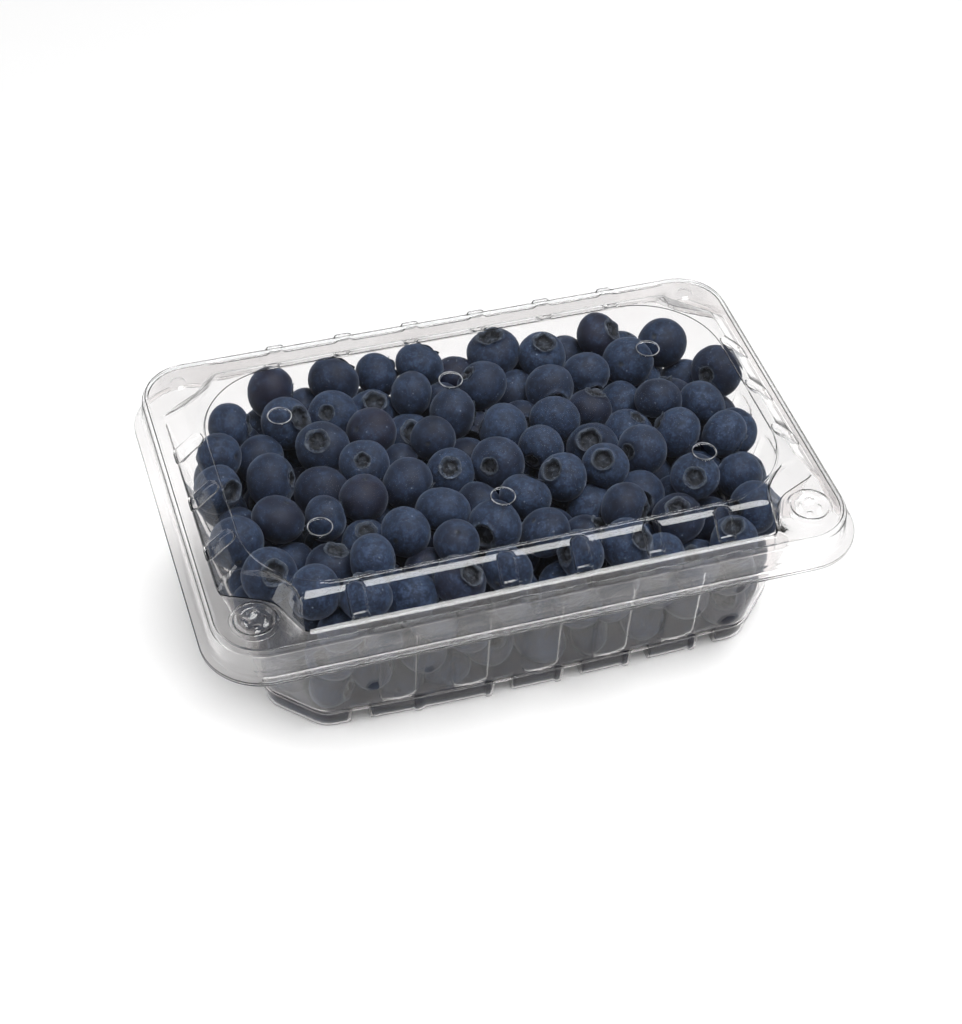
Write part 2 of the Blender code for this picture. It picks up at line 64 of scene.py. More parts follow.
def smooth_step(value: np.ndarray) -> np.ndarray:
    """Eases values from 0 to 1.

    Args:
        value: Any numbers; they are held between 0 and 1 first.

    Returns:
        The eased numbers.
    """
    held = np.clip(value, 0.0, 1.0)
    return held * held * (3.0 - 2.0 * held)


def eased_line(points: np.ndarray, reach: float | list[float], steps: int = 4) -> np.ndarray:
    """Turns each inner corner of a line into a short curve.

    Args:
        points: The line's points, one row each, with any number of columns.
        reach: How far from its corner each curve starts, for all corners or one by one.
        steps: Parts in each curve.

    Returns:
        The eased line's points.
    """
    line = np.asarray(points, dtype=float)
    reaches = [reach] * (len(line) - 2) if isinstance(reach, float) else reach
    made = [line[0]]
    for before, corner, after, far in zip(line, line[1:], line[2:], reaches):
        to_before = before - corner
        to_after = after - corner
        lengths = np.linalg.norm(to_before), np.linalg.norm(to_after)
        near = min(far, 0.48 * lengths[0], 0.48 * lengths[1])
        start = corner + to_before / lengths[0] * near
        end = corner + to_after / lengths[1] * near
        for i in range(steps + 1):
            part = i / steps
            made.append(start * (1 - part) ** 2 + corner * 2 * part * (1 - part) + end * part**2)
    made.append(line[-1])
    return np.array(made)


def split_line(points: np.ndarray, pitch: float, columns: tuple[int, ...]) -> np.ndarray:
    """Adds points to a line until no stretch is longer than a pitch.

    Args:
        points: The line's points.
        pitch: The longest stretch that is left.
        columns: The columns that a stretch's length is measured in.

    Returns:
        The line with the added points.
    """
    made = [points[0]]
    for start, end in zip(points, points[1:]):
        count = max(1, math.ceil(np.linalg.norm((end - start)[list(columns)]) / pitch - 1e-6))
        made += [start + (end - start) * i / count for i in range(1, count + 1)]
    return np.array(made)


def spaced(points: np.ndarray, count: int) -> np.ndarray:
    """Spaces a number of points evenly along a line.

    Args:
        points: The line's points in plan.
        count: How many points to place, both ends among them.

    Returns:
        The placed points.
    """
    steps = np.linalg.norm(np.diff(points, axis=0), axis=1)
    along = np.concatenate(([0.0], np.cumsum(steps)))
    wanted = np.linspace(0.0, along[-1], count)
    return np.stack([np.interp(wanted, along, points[:, i]) for i in range(points.shape[1])], axis=1)


def arc(centre: tuple[float, float], radius: float, start: float, end: float, count: int) -> np.ndarray:
    """Places points on an arc.

    Args:
        centre: The arc's centre in plan.
        radius: Its radius.
        start: Its first angle in radians.
        end: Its last angle in radians.
        count: How many points.

    Returns:
        The points.
    """
    turns = np.linspace(start, end, count)
    return np.stack([centre[0] + radius * np.cos(turns), centre[1] + radius * np.sin(turns)], axis=1)


@dataclass(frozen=True)
class Scoop:
    """A hollow that cuts the dome's corner away round a button.

    Attributes:
        at: Its centre in the quarter with x and y above zero.
        radius: Its radius at the flange.
        edge_x: Where it starts on the long side.
        edge_y: Where it ends on the short side.
    """

    at: tuple[float, float]
    radius: float
    edge_x: float
    edge_y: float


class Corner(Enum):
    """The ways that a corner of an outline is shaped."""

    ROUND = "round"
    SCOOPED = "scooped"
    CHAMFERED = "chamfered"


@dataclass(frozen=True)
class Quarter:
    """A quarter of an outline, from the middle of a long side to the middle of an end.

    Attributes:
        half_x: Half of the outline's length.
        half_y: Half of its width.
        kind: How its corner is shaped.
        size: The corner's radius, the inset for a scoop, or the chamfer's size.
        scoop: The hollow that a scooped corner follows.
    """

    half_x: float
    half_y: float
    kind: Corner
    size: float
    scoop: Scoop | None = None

    def long_side(self, x: np.ndarray) -> np.ndarray:
        """Distance of the long side from the middle line at each x."""
        if self.kind is not Corner.ROUND:
            return np.full_like(x, self.half_y)
        past = np.clip(np.abs(x) - (self.half_x - self.size), 0.0, self.size)
        return self.half_y - self.size + np.sqrt(self.size**2 - past**2)

    def short_side(self, y: np.ndarray) -> np.ndarray:
        """Distance of the end from the middle line at each y."""
        if self.kind is not Corner.ROUND:
            return np.full_like(y, self.half_x)
        past = np.clip(np.abs(y) - (self.half_y - self.size), 0.0, self.size)
        return self.half_x - self.size + np.sqrt(self.size**2 - past**2)

    def corner(self, count: int) -> np.ndarray:
        """Places points evenly round the corner.

        Args:
            count: How many points, without the two where the sides end.

        Returns:
            The points in plan.
        """
        first = (SIDE_X, float(self.long_side(np.array([SIDE_X]))[0]))
        last = (float(self.short_side(np.array([SIDE_Y]))[0]), SIDE_Y)
        if self.kind is Corner.ROUND:
            line = self._round_line()
        elif self.kind is Corner.CHAMFERED:
            line = self._chamfer_line(first, last)
        else:
            line = self._scoop_line(first, last)
        return spaced(line, count + 2)[1:-1]

    def _round_line(self) -> np.ndarray:
        """The arc of a rounded corner, from the long side's end to the short side's."""
        centre = (self.half_x - self.size, self.half_y - self.size)
        start = math.acos(min(1.0, max(0.0, (SIDE_X - centre[0]) / self.size)))
        end = math.asin(min(1.0, max(0.0, (SIDE_Y - centre[1]) / self.size)))
        bend = arc(centre, self.size, start, end, 48)
        return np.vstack([[SIDE_X, bend[0][1]], bend, [bend[-1][0], SIDE_Y]])

    def _chamfer_line(self, first: tuple[float, float], last: tuple[float, float]) -> np.ndarray:
        """A corner cut at 45 degrees, with both edges of the cut eased."""
        points = [first, (self.half_x - self.size, self.half_y), (self.half_x, self.half_y - self.size), last]
        return eased_line(np.array(points), 0.0034, 8)

    def _scoop_line(self, first: tuple[float, float], last: tuple[float, float]) -> np.ndarray:
        """A corner cut away round a button: two tangents to an arc, with an eased ridge at each side."""
        scoop = self.scoop
        at = np.array(scoop.at)
        growth = 1.05 * max(self.size, 0.0) + 0.4 * min(self.size, 0.0)
        ends = [np.array((scoop.edge_x, self.half_y)), np.array((self.half_x, scoop.edge_y - self.size / 2))]
        radius = min(scoop.radius + growth, 0.97 * min(np.linalg.norm(end - at) for end in ends))
        turns = []
        for end, side in zip(ends, (1.0, -1.0)):
            away = end - at
            turn = math.atan2(away[1], away[0]) + side * math.acos(min(1.0, radius / np.linalg.norm(away)))
            turns.append(turn % (2 * math.pi))
        bend = arc(scoop.at, radius, turns[0], turns[1], 32)
        points = np.vstack([first, ends[0], bend[0], bend[-1], ends[1], last])
        eased = eased_line(points, [0.0011, 1e-5, 1e-5, 0.0011], 6)
        return np.vstack([eased[:8], bend, eased[-8:]])


@dataclass(frozen=True)
class Stations:
    """Where the points of an outline stand, the same for every outline of one sheet.

    Attributes:
        front: Places along the front, as x.
        rear: Places along the rear, as x.
        ends: Places along both ends, as y.
        corner: Points in each corner.
    """

    front: np.ndarray
    rear: np.ndarray
    ends: np.ndarray
    corner: int

    @staticmethod
    def along(reach: float, coarse: float, edges: list[tuple[float, float]], fine: float) -> np.ndarray:
        """Places along a side, closer together at the edges of its features.

        Args:
            reach: Where the side ends, either way from its middle.
            coarse: The spacing away from features.
            edges: Each edge's place and how far the close spacing reaches from it.
            fine: The spacing at an edge.

        Returns:
            The places, from the lowest to the highest.
        """
        places = [-reach, reach]
        for place, width in edges:
            count = max(1, round(width / fine))
            places += [place + i * fine for i in range(-count, count + 1) if abs(place + i * fine) < reach]
        places = np.unique(np.round(places, 7))
        places = places[np.concatenate(([True], np.diff(places) > 0.4 * fine))]
        made = [places[0]]
        for start, end in zip(places, places[1:]):
            count = max(1, math.ceil((end - start) / coarse - 1e-6))
            made += [start + (end - start) * i / count for i in range(1, count + 1)]
        made[-1] = reach
        return np.array(made)

    def plan(self, front: Quarter, rear: Quarter) -> np.ndarray:
        """The outline of one height, anticlockwise from above.

        Args:
            front: The quarter that both front corners follow.
            rear: The quarter that both rear corners follow.

        Returns:
            The outline's points in plan.
        """
        flip = np.array([-1.0, 1.0])
        near = front.corner(self.corner) * (1.0, -1.0)
        far = rear.corner(self.corner)
        middle = 0.5 * (1.0 + self.ends / SIDE_Y)
        out = front.short_side(self.ends) * (1.0 - middle) + rear.short_side(self.ends) * middle
        right = np.stack([out, self.ends], axis=1)
        return np.vstack(
            [
                np.stack([self.front, -front.long_side(self.front)], axis=1),
                near,
                right,
                far[::-1],
                np.stack([self.rear[::-1], rear.long_side(self.rear[::-1])], axis=1),
                far * flip,
                right[::-1] * flip,
                near[::-1] * flip,
            ]
        )

    def spans(self) -> dict[str, slice]:
        """Which points of an outline belong to which side."""
        names = ("front", "near_right", "right", "far_right", "rear", "far_left", "left", "near_left")
        corner = self.corner
        counts = (len(self.front), corner, len(self.ends), corner, len(self.rear), corner, len(self.ends), corner)
        starts = np.concatenate(([0], np.cumsum(counts)))
        return {name: slice(a, b) for name, a, b in zip(names, starts, starts[1:])}


# ---------------------------------------------------------------------------------------------------------------
# Mesh helpers
# ---------------------------------------------------------------------------------------------------------------


def ring_of_edges(loop: list[bmesh.types.BMVert]) -> list[bmesh.types.BMEdge]:
    """The edges that join a closed loop's points, in order."""
    pairs = zip(loop, loop[1:] + loop[:1])
    return [next(edge for edge in a.link_edges if edge.other_vert(a) is b) for a, b in pairs]


def loft(shape: bmesh.types.BMesh, rings: list[np.ndarray]) -> list[list[bmesh.types.BMVert]]:
    """Draws a sheet through closed outlines: a circle of points, extruded from each outline to the next.

    Args:
        shape: The mesh that the sheet is added to.
        rings: Outlines with the same number of points, each in 3-D.

    Returns:
        The points of each outline, in order.
    """
    circle = bmesh.ops.create_circle(shape, cap_ends=False, segments=len(rings[0]), radius=1.0)["verts"]
    for point, place in zip(circle, rings[0]):
        point.co = place
    loops = [list(circle)]
    for ring in rings[1:]:
        last = loops[-1]
        made = bmesh.ops.extrude_edge_only(shape, edges=ring_of_edges(last))["geom"]
        fresh = {item for item in made if isinstance(item, bmesh.types.BMVert)}
        following = [next(o for o in (e.other_vert(p) for e in p.link_edges) if o in fresh) for p in last]
        for point, place in zip(following, ring):
            point.co = place
        loops.append(following)
    return loops


def turned_rings(centre: tuple[float, float], rows: list[tuple[float, float]], count: int) -> list[np.ndarray]:
    """Round outlines about an upright line.

    Args:
        centre: The line's place in plan.
        rows: The radius and height of each outline.
        count: Points in each outline.

    Returns:
        The outlines.
    """
    turns = np.arange(count) * 2 * math.pi / count
    return [
        np.stack([centre[0] + r * np.cos(turns), centre[1] + r * np.sin(turns), np.full(count, z)], axis=1)
        for r, z in rows
    ]


def fill_between(shape: bmesh.types.BMesh, loops: list[list[bmesh.types.BMVert]]) -> None:
    """Fills the flat area that closed loops bound, the first outside and the others as its inner edges."""
    edges = [edge for loop in loops for edge in ring_of_edges(loop)]
    bmesh.ops.triangle_fill(shape, use_beauty=True, use_dissolve=False, edges=edges, normal=(0.0, 0.0, 1.0))


def turned_outwards(shape: bmesh.types.BMesh, up_at: float | None = None) -> None:
    """Merges doubles and turns a mesh's faces outwards.

    Args:
        shape: The mesh.
        up_at: For an open sheet, the height of its highest level part, which has to face up.
    """
    bmesh.ops.remove_doubles(shape, verts=shape.verts, dist=2e-7)
    bmesh.ops.dissolve_degenerate(shape, edges=shape.edges, dist=1e-8)
    bmesh.ops.recalc_face_normals(shape, faces=shape.faces)
    if up_at is None:
        return
    top = [face for face in shape.faces if abs(face.calc_center_median().z - up_at) < 1e-4]
    if sum(face.normal.z * face.calc_area() for face in top) < 0.0:
        bmesh.ops.reverse_faces(shape, faces=shape.faces)


def finished_piece(name: str, shape: bmesh.types.BMesh, material: bpy.types.Material, body: str) -> bpy.types.Object:
    """Makes a smooth-shaded piece of a mesh and lets it ride on its body.

    Args:
        name: The piece's name.
        shape: Its mesh, in the frame's own metres; it is freed.
        material: Its finish.
        body: The body that it rides on.

    Returns:
        The piece.
    """
    mesh = bpy.data.meshes.new(name)
    shape.to_mesh(mesh)
    shape.free()
    mesh.materials.append(material)
    mesh.shade_smooth()
    piece = bpy.data.objects.new(name, mesh)
    bpy.context.scene.collection.objects.link(piece)
    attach(piece, body)
    return piece


def add_wall(piece: bpy.types.Object, thickness: float) -> None:
    """Gives an open sheet its thickness, inwards from its outside."""
    wall = piece.modifiers.new("wall", "SOLIDIFY")
    wall.thickness = thickness
    wall.offset = -1.0
    wall.use_even_offset = False
    wall.use_rim = True


def report(piece: bpy.types.Object) -> None:
    """Writes a piece's size to the log."""
    seen = piece.evaluated_get(bpy.context.evaluated_depsgraph_get())
    mesh = seen.to_mesh()
    triangles = sum(len(face.vertices) - 2 for face in mesh.polygons)
    seen.to_mesh_clear()
    LOG.info("%s: %d triangles", piece.name, triangles)


# ---------------------------------------------------------------------------------------------------------------
# Finishes
# ---------------------------------------------------------------------------------------------------------------


@dataclass
class Graph:
    """A short way to write a node tree.

    Attributes:
        tree: The tree that nodes are added to.
    """

    tree: bpy.types.NodeTree

    def add(self, kind: str, inputs: dict | None = None, **settings) -> bpy.types.Node:
        """Adds a node.

        Args:
            kind: The node's type name without its ShaderNode prefix.
            inputs: Values or sockets for its inputs, by name or number.
            **settings: Its properties.

        Returns:
            The node.
        """
        node = self.tree.nodes.new(kind if kind.startswith("Node") else f"ShaderNode{kind}")
        for name, value in settings.items():
            setattr(node, name, value)
        for name, value in (inputs or {}).items():
            if isinstance(value, bpy.types.NodeSocket):
                self.tree.links.new(value, node.inputs[name])
            else:
                node.inputs[name].default_value = value
        return node

    def math(self, operation: str, *values) -> bpy.types.NodeSocket:
        """Adds a Math node and gives its result."""
        return self.add("Math", dict(enumerate(values)), operation=operation).outputs[0]

    def ramp(self, factor, stops: list[tuple[float, tuple[float, float, float]]]) -> bpy.types.NodeSocket:
        """Adds a colour ramp.

        Args:
            factor: The socket that it reads.
            stops: Each stop's place and colour.

        Returns:
            The colour that it gives.
        """
        node = self.add("ValToRGB", {"Fac": factor})
        band = node.color_ramp
        while len(band.elements) < len(stops):
            band.elements.new(0.5)
        for element, (place, colour) in zip(band.elements, stops):
            element.position = place
            element.color = (*colour, 1.0)
        return node.outputs["Color"]

    def share(self, factor, low: float, high: float) -> bpy.types.NodeSocket:
        """Eases a value from 0 at low to 1 at high."""
        inputs = {"Value": factor, "From Min": low, "From Max": high}
        return self.add("MapRange", inputs, interpolation_type="SMOOTHSTEP").outputs["Result"]

    def mix(self, factor, first, second) -> bpy.types.NodeSocket:
        """Mixes two colours; a plain colour is given as three numbers."""
        node = self.add("Mix", {0: factor}, data_type="RGBA")
        for place, value in ((6, first), (7, second)):
            if isinstance(value, bpy.types.NodeSocket):
                self.tree.links.new(value, node.inputs[place])
            else:
                node.inputs[place].default_value = (*value, 1.0)
        return node.outputs[2]


def new_material(name: str) -> tuple[bpy.types.Material, Graph]:
    """Makes an empty material and the graph of its nodes."""
    material = bpy.data.materials.new(name)
    material.use_nodes = True
    material.node_tree.nodes.clear()
    return material, Graph(material.node_tree)


def mottle_group() -> bpy.types.NodeTree:
    """Builds the effect that both the sheet and the fruit use: uneven patches with finer grain in them.

    Returns:
        The node group, with inputs Vector, Patch and Grain, and outputs Patches, Grain and Height.
    """
    group = bpy.data.node_groups.get("mottle")
    if group:
        return group
    group = bpy.data.node_groups.new("mottle", "ShaderNodeTree")
    group.interface.new_socket("Vector", in_out="INPUT", socket_type="NodeSocketVector")
    for name, value in (("Patch", 120.0), ("Grain", 900.0)):
        group.interface.new_socket(name, in_out="INPUT", socket_type="NodeSocketFloat").default_value = value
    for name in ("Patches", "Grain", "Height"):
        group.interface.new_socket(name, in_out="OUTPUT", socket_type="NodeSocketFloat")
    graph = Graph(group)
    given = graph.add("NodeGroupInput").outputs
    result = graph.add("NodeGroupOutput")
    shared = {"Vector": given["Vector"], "Roughness": 0.55}
    patches = graph.add("TexNoise", {**shared, "Scale": given["Patch"], "Detail": 3.0}).outputs["Fac"]
    grain = graph.add("TexNoise", {**shared, "Scale": given["Grain"], "Detail": 2.0}).outputs["Fac"]
    height = graph.math("MULTIPLY_ADD", grain, 0.25, patches)
    for name, socket in (("Patches", patches), ("Grain", grain), ("Height", height)):
        group.links.new(socket, result.inputs[name])
    return group


@dataclass(frozen=True)
class ClearSheet:
    """Thin clear plastic with a faint ripple from its moulding.

    Attributes:
        name: The material's name.
        tint: What the sheet lets through, at its clearest.
        dull: What it lets through where it is dullest.
        roughness: Roughness where it is clearest and where it is dullest.
        ripple: Height of the ripple in metres.
        ripple_scale: Ripples in a metre.
        bend: How strongly it bends light.
    """

    name: str
    tint: tuple[float, float, float]
    dull: tuple[float, float, float]
    roughness: tuple[float, float]
    ripple: float
    ripple_scale: float
    bend: float

    def material(self) -> bpy.types.Material:
        """Builds the material: glass that lets lamps through to the fruit.

        Returns:
            The material.
        """
        made, graph = new_material(self.name)
        place = graph.add("TexCoord").outputs["Object"]
        mottle = graph.add(
            "Group",
            {"Vector": place, "Patch": self.ripple_scale, "Grain": 6.0 * self.ripple_scale},
            node_tree=mottle_group(),
        )
        patches = mottle.outputs["Patches"]
        colour = graph.ramp(patches, [(0.40, self.tint), (0.70, self.dull)])
        span = self.roughness[1] - self.roughness[0]
        roughness = graph.math("MULTIPLY_ADD", graph.share(patches, 0.35, 0.75), span, self.roughness[0])
        normal = graph.add("Bump", {"Strength": 1.0, "Distance": self.ripple, "Height": mottle.outputs["Height"]})
        sheet = graph.add(
            "BsdfPrincipled",
            {
                "Base Color": colour,
                "Roughness": roughness,
                "Metallic": 0.0,
                "IOR": self.bend,
                "Transmission Weight": 1.0,
                "Normal": normal.outputs["Normal"],
            },
        )
        clear = graph.add("BsdfTransparent", {"Color": (0.965, 0.965, 0.965, 1.0)})
        lamp = graph.add("LightPath").outputs["Is Shadow Ray"]
        mixed = graph.add("MixShader", {0: lamp, 1: sheet.outputs[0], 2: clear.outputs[0]})
        graph.add("OutputMaterial", {"Surface": mixed.outputs[0]})
        return made


@dataclass(frozen=True)
class CutEdgeGlint:
    """Clear plastic turned milky where it is punched; its pale grey is also a painted highlight, the glint along each
    vent's rounded rim.

    Attributes:
        name: The material's name.
        colour: Its colour, pale enough to paint the glint along a vent's rim.
        worn: Its colour where the edge is rougher.
    """

    name: str
    colour: tuple[float, float, float] = (0.46, 0.47, 0.49)
    worn: tuple[float, float, float] = (0.12, 0.125, 0.135)

    def material(self) -> bpy.types.Material:
        """Builds the material.

        Returns:
            The material.
        """
        made, graph = new_material(self.name)
        place = graph.add("TexCoord").outputs["Object"]
        mottle = graph.add("Group", {"Vector": place, "Patch": 420.0, "Grain": 3000.0}, node_tree=mottle_group())
        colour = graph.mix(graph.share(mottle.outputs["Patches"], 0.36, 0.62), self.worn, self.colour)
        bump = graph.add("Bump", {"Strength": 0.5, "Distance": 0.00003, "Height": mottle.outputs["Height"]})
        inputs = {"Base Color": colour, "Roughness": 0.35, "Normal": bump.outputs["Normal"]}
        shader = graph.add("BsdfPrincipled", inputs)
        graph.add("OutputMaterial", {"Surface": shader.outputs[0]})
        return made


@dataclass(frozen=True)
class BerrySkin:
    """Dark blue skin with a pale waxy bloom, rubbed off in places, and a brown crown.

    Attributes:
        name: The material's name.
        bare: The skin where the bloom is rubbed off.
        purple: The skin of less ripe fruit.
        bloom: The bloom where it is thickest.
        crown: The dried crown and scar.
        crown_edge: The lighter edge of the crown.
        cover: How much of the skin the bloom covers, from 0 to 1.
    """

    name: str
    bare: tuple[float, float, float] = (0.0045, 0.0068, 0.0165)
    purple: tuple[float, float, float] = (0.0070, 0.0068, 0.0160)
    bloom: tuple[float, float, float] = (0.0275, 0.0460, 0.0900)
    crown: tuple[float, float, float] = (0.0075, 0.0085, 0.0115)
    crown_edge: tuple[float, float, float] = (0.062, 0.074, 0.092)
    cover: float = 0.70

    def material(self) -> bpy.types.Material:
        """Builds the material.

        Returns:
            The material.
        """
        made, graph = new_material(self.name)
        place = graph.add("TexCoord").outputs["Object"]
        tone = graph.add("Attribute", attribute_name="tone").outputs["Fac"]
        crown = graph.add("Attribute", attribute_name="crown").outputs["Fac"]
        rim = graph.add("Attribute", attribute_name="rim").outputs["Fac"]
        mottle = graph.add("Group", {"Vector": place, "Patch": 260.0, "Grain": 1500.0}, node_tree=mottle_group())
        patches = mottle.outputs["Patches"]
        lifted = graph.math("MULTIPLY_ADD", tone, 0.42, patches)
        cover = graph.share(lifted, 1.04 - self.cover, 1.56 - self.cover)
        worn = graph.math("MULTIPLY_ADD", graph.share(mottle.outputs["Grain"], 0.36, 0.64), 0.60, 0.40)
        streaks = graph.add("TexNoise", {"Vector": place, "Scale": 640.0, "Detail": 3.0}).outputs["Fac"]
        streaks = graph.math("MULTIPLY_ADD", graph.share(streaks, 0.38, 0.60), 0.62, 0.38)
        cover = graph.math("MULTIPLY", graph.math("MULTIPLY", cover, worn), streaks)
        skin = graph.mix(graph.share(tone, 0.12, 0.0), self.bare, self.purple)
        colour = graph.mix(cover, skin, self.bloom)
        specks = graph.add("TexVoronoi", {"Vector": place, "Scale": 420.0}, feature="F1").outputs["Distance"]
        speck = graph.math("MULTIPLY", graph.share(specks, 0.13, 0.05), graph.share(patches, 0.46, 0.54))
        colour = graph.mix(graph.math("MULTIPLY", speck, 0.55), colour, (0.20, 0.24, 0.30))
        colour = graph.mix(crown, colour, self.crown)
        colour = graph.mix(graph.math("MULTIPLY", rim, worn), colour, self.crown_edge)
        roughness = graph.math("MULTIPLY_ADD", cover, 0.15, 0.60)
        bump = graph.add("Bump", {"Strength": 0.65, "Distance": 0.00018, "Height": mottle.outputs["Height"]})
        shader = graph.add(
            "BsdfPrincipled",
            {
                "Base Color": colour,
                "Roughness": roughness,
                "Normal": bump.outputs["Normal"],
                "IOR": 1.30,
                "Sheen Weight": 0.22,
                "Sheen Roughness": 0.35,
                "Sheen Tint": (0.62, 0.72, 0.90, 1.0),
            },
        )
        graph.add("OutputMaterial", {"Surface": shader.outputs[0]})
        return made


@dataclass(frozen=True)
class Tabletop:
    """A plain pale surface to stand on.

    Attributes:
        colour: Its colour.
        glow: Light of its own far away, which keeps the surface pale there.
        near: Distance from the middle within which it has only a faint glow of a tenth, a painted light that lightens
            the punnet's shadow there.
        far: Distance at which it has all of it.
    """

    colour: tuple[float, float, float] = (0.93, 0.93, 0.93)
    glow: float = 0.90
    near: float = 0.30
    far: float = 1.60

    def material(self) -> bpy.types.Material:
        """Builds the material.

        Returns:
            The material.
        """
        made, graph = new_material("tabletop")
        place = graph.add("TexCoord").outputs["Object"]
        distance = graph.add("VectorMath", {0: place}, operation="LENGTH").outputs["Value"]
        share = graph.share(distance, self.near, self.far)
        inputs = {
            "Base Color": (*self.colour, 1.0),
            "Roughness": 0.9,
            "Specular IOR Level": 0.0,
            # painted light: the floor glows faintly round and under the punnet, lightening its shadow, and fully far
            # away
            "Emission Color": graph.mix(share, (0.10, 0.10, 0.10), (self.glow,) * 3),
            "Emission Strength": 1.0,
        }
        shader = graph.add("BsdfPrincipled", inputs)
        graph.add("OutputMaterial", {"Surface": shader.outputs[0]})
        return made


# ---------------------------------------------------------------------------------------------------------------
# The two halves of the clear sheet
# ---------------------------------------------------------------------------------------------------------------


@dataclass(frozen=True)
class Rim:
    """The outer outline that both halves share, and the rows of marks along it.

    Attributes:
        half_x: Half of the rim's length.
        half_y: Half of its width.
        corner: Radius of its corners.
        pitch: Spacing of the flutes and ribs along the long sides.
        notches: Places of the notches under the front flutes, in pitches.
        notch: Half width of a notch.
        waves: Places of the notches in the rear groove, in pitches.
        wave_shift: How far these are to the right.
        groove: Where the rear groove starts and ends.
    """

    half_x: float = 0.0920
    half_y: float = 0.0585
    corner: float = 0.0170
    pitch: float = 0.0204
    notches: tuple[float, ...] = (-2.5, -0.5, 0.5, 1.5, 2.5)
    notch: float = 0.0021
    waves: tuple[float, ...] = (-2.5, -1.5, -0.5, 0.5, 1.5, 2.5)
    wave_shift: float = 0.0036
    groove: tuple[float, float] = (-0.0690, 0.0740)

    def stations(self) -> Stations:
        """Where the rim's points stand."""
        edges = [(place * self.pitch + side * self.notch, 0.0009) for place in self.notches for side in (-1, 1)]
        shifted = [place * self.pitch + self.wave_shift for place in self.waves]
        rear = [(place, 0.0036) for place in shifted]
        return Stations(
            Stations.along(SIDE_X, 0.0060, edges, 0.00028),
            Stations.along(SIDE_X, 0.0060, rear, 0.00045),
            Stations.along(SIDE_Y, 0.0080, [], 0.001),
            34,
        )

    def ring(self, stations: Stations, row: np.ndarray) -> np.ndarray:
        """One outline of the rim.

        Args:
            stations: Where its points stand.
            row: Inset, inset at the rear, height, drop in the rear groove and inset in a front notch, which is
                below zero where the row stays level.

        Returns:
            The outline in 3-D.
        """
        inset, rear_inset, height, drop, notch = row
        front = Quarter(self.half_x - inset, self.half_y - inset, Corner.ROUND, self.corner - inset)
        rear = Quarter(self.half_x - inset, self.half_y - rear_inset, Corner.ROUND, self.corner - inset)
        plan = stations.plan(front, rear)
        ring = np.column_stack([plan, np.full(len(plan), height)])
        if notch:
            x = ring[:, 0]
            near = np.full(len(x), 1.0)
            for place in self.notches:
                near = np.minimum(near, np.abs(x - place * self.pitch))
            share = smooth_step((self.notch - near) / 0.0005) * (ring[:, 1] < 0.0)
            ring[:, 1] += abs(notch) * share
            ring[:, 2] -= max(notch, 0.0) * share
        if drop:
            x, y = ring[:, 0], ring[:, 1]
            inside = smooth_step((x - self.groove[0]) / 0.006) * smooth_step((self.groove[1] - x) / 0.006)
            share = inside * smooth_step((y - 0.0500) / 0.004)
            near = np.full(len(x), 1.0)
            for place in self.waves:
                near = np.minimum(near, np.abs(x - place * self.pitch - self.wave_shift))
            wave = smooth_step((0.0028 - near) / 0.0010) * share
            ring[:, 2] -= drop * share
            ring[:, 1] += 0.0011 * wave
        return ring


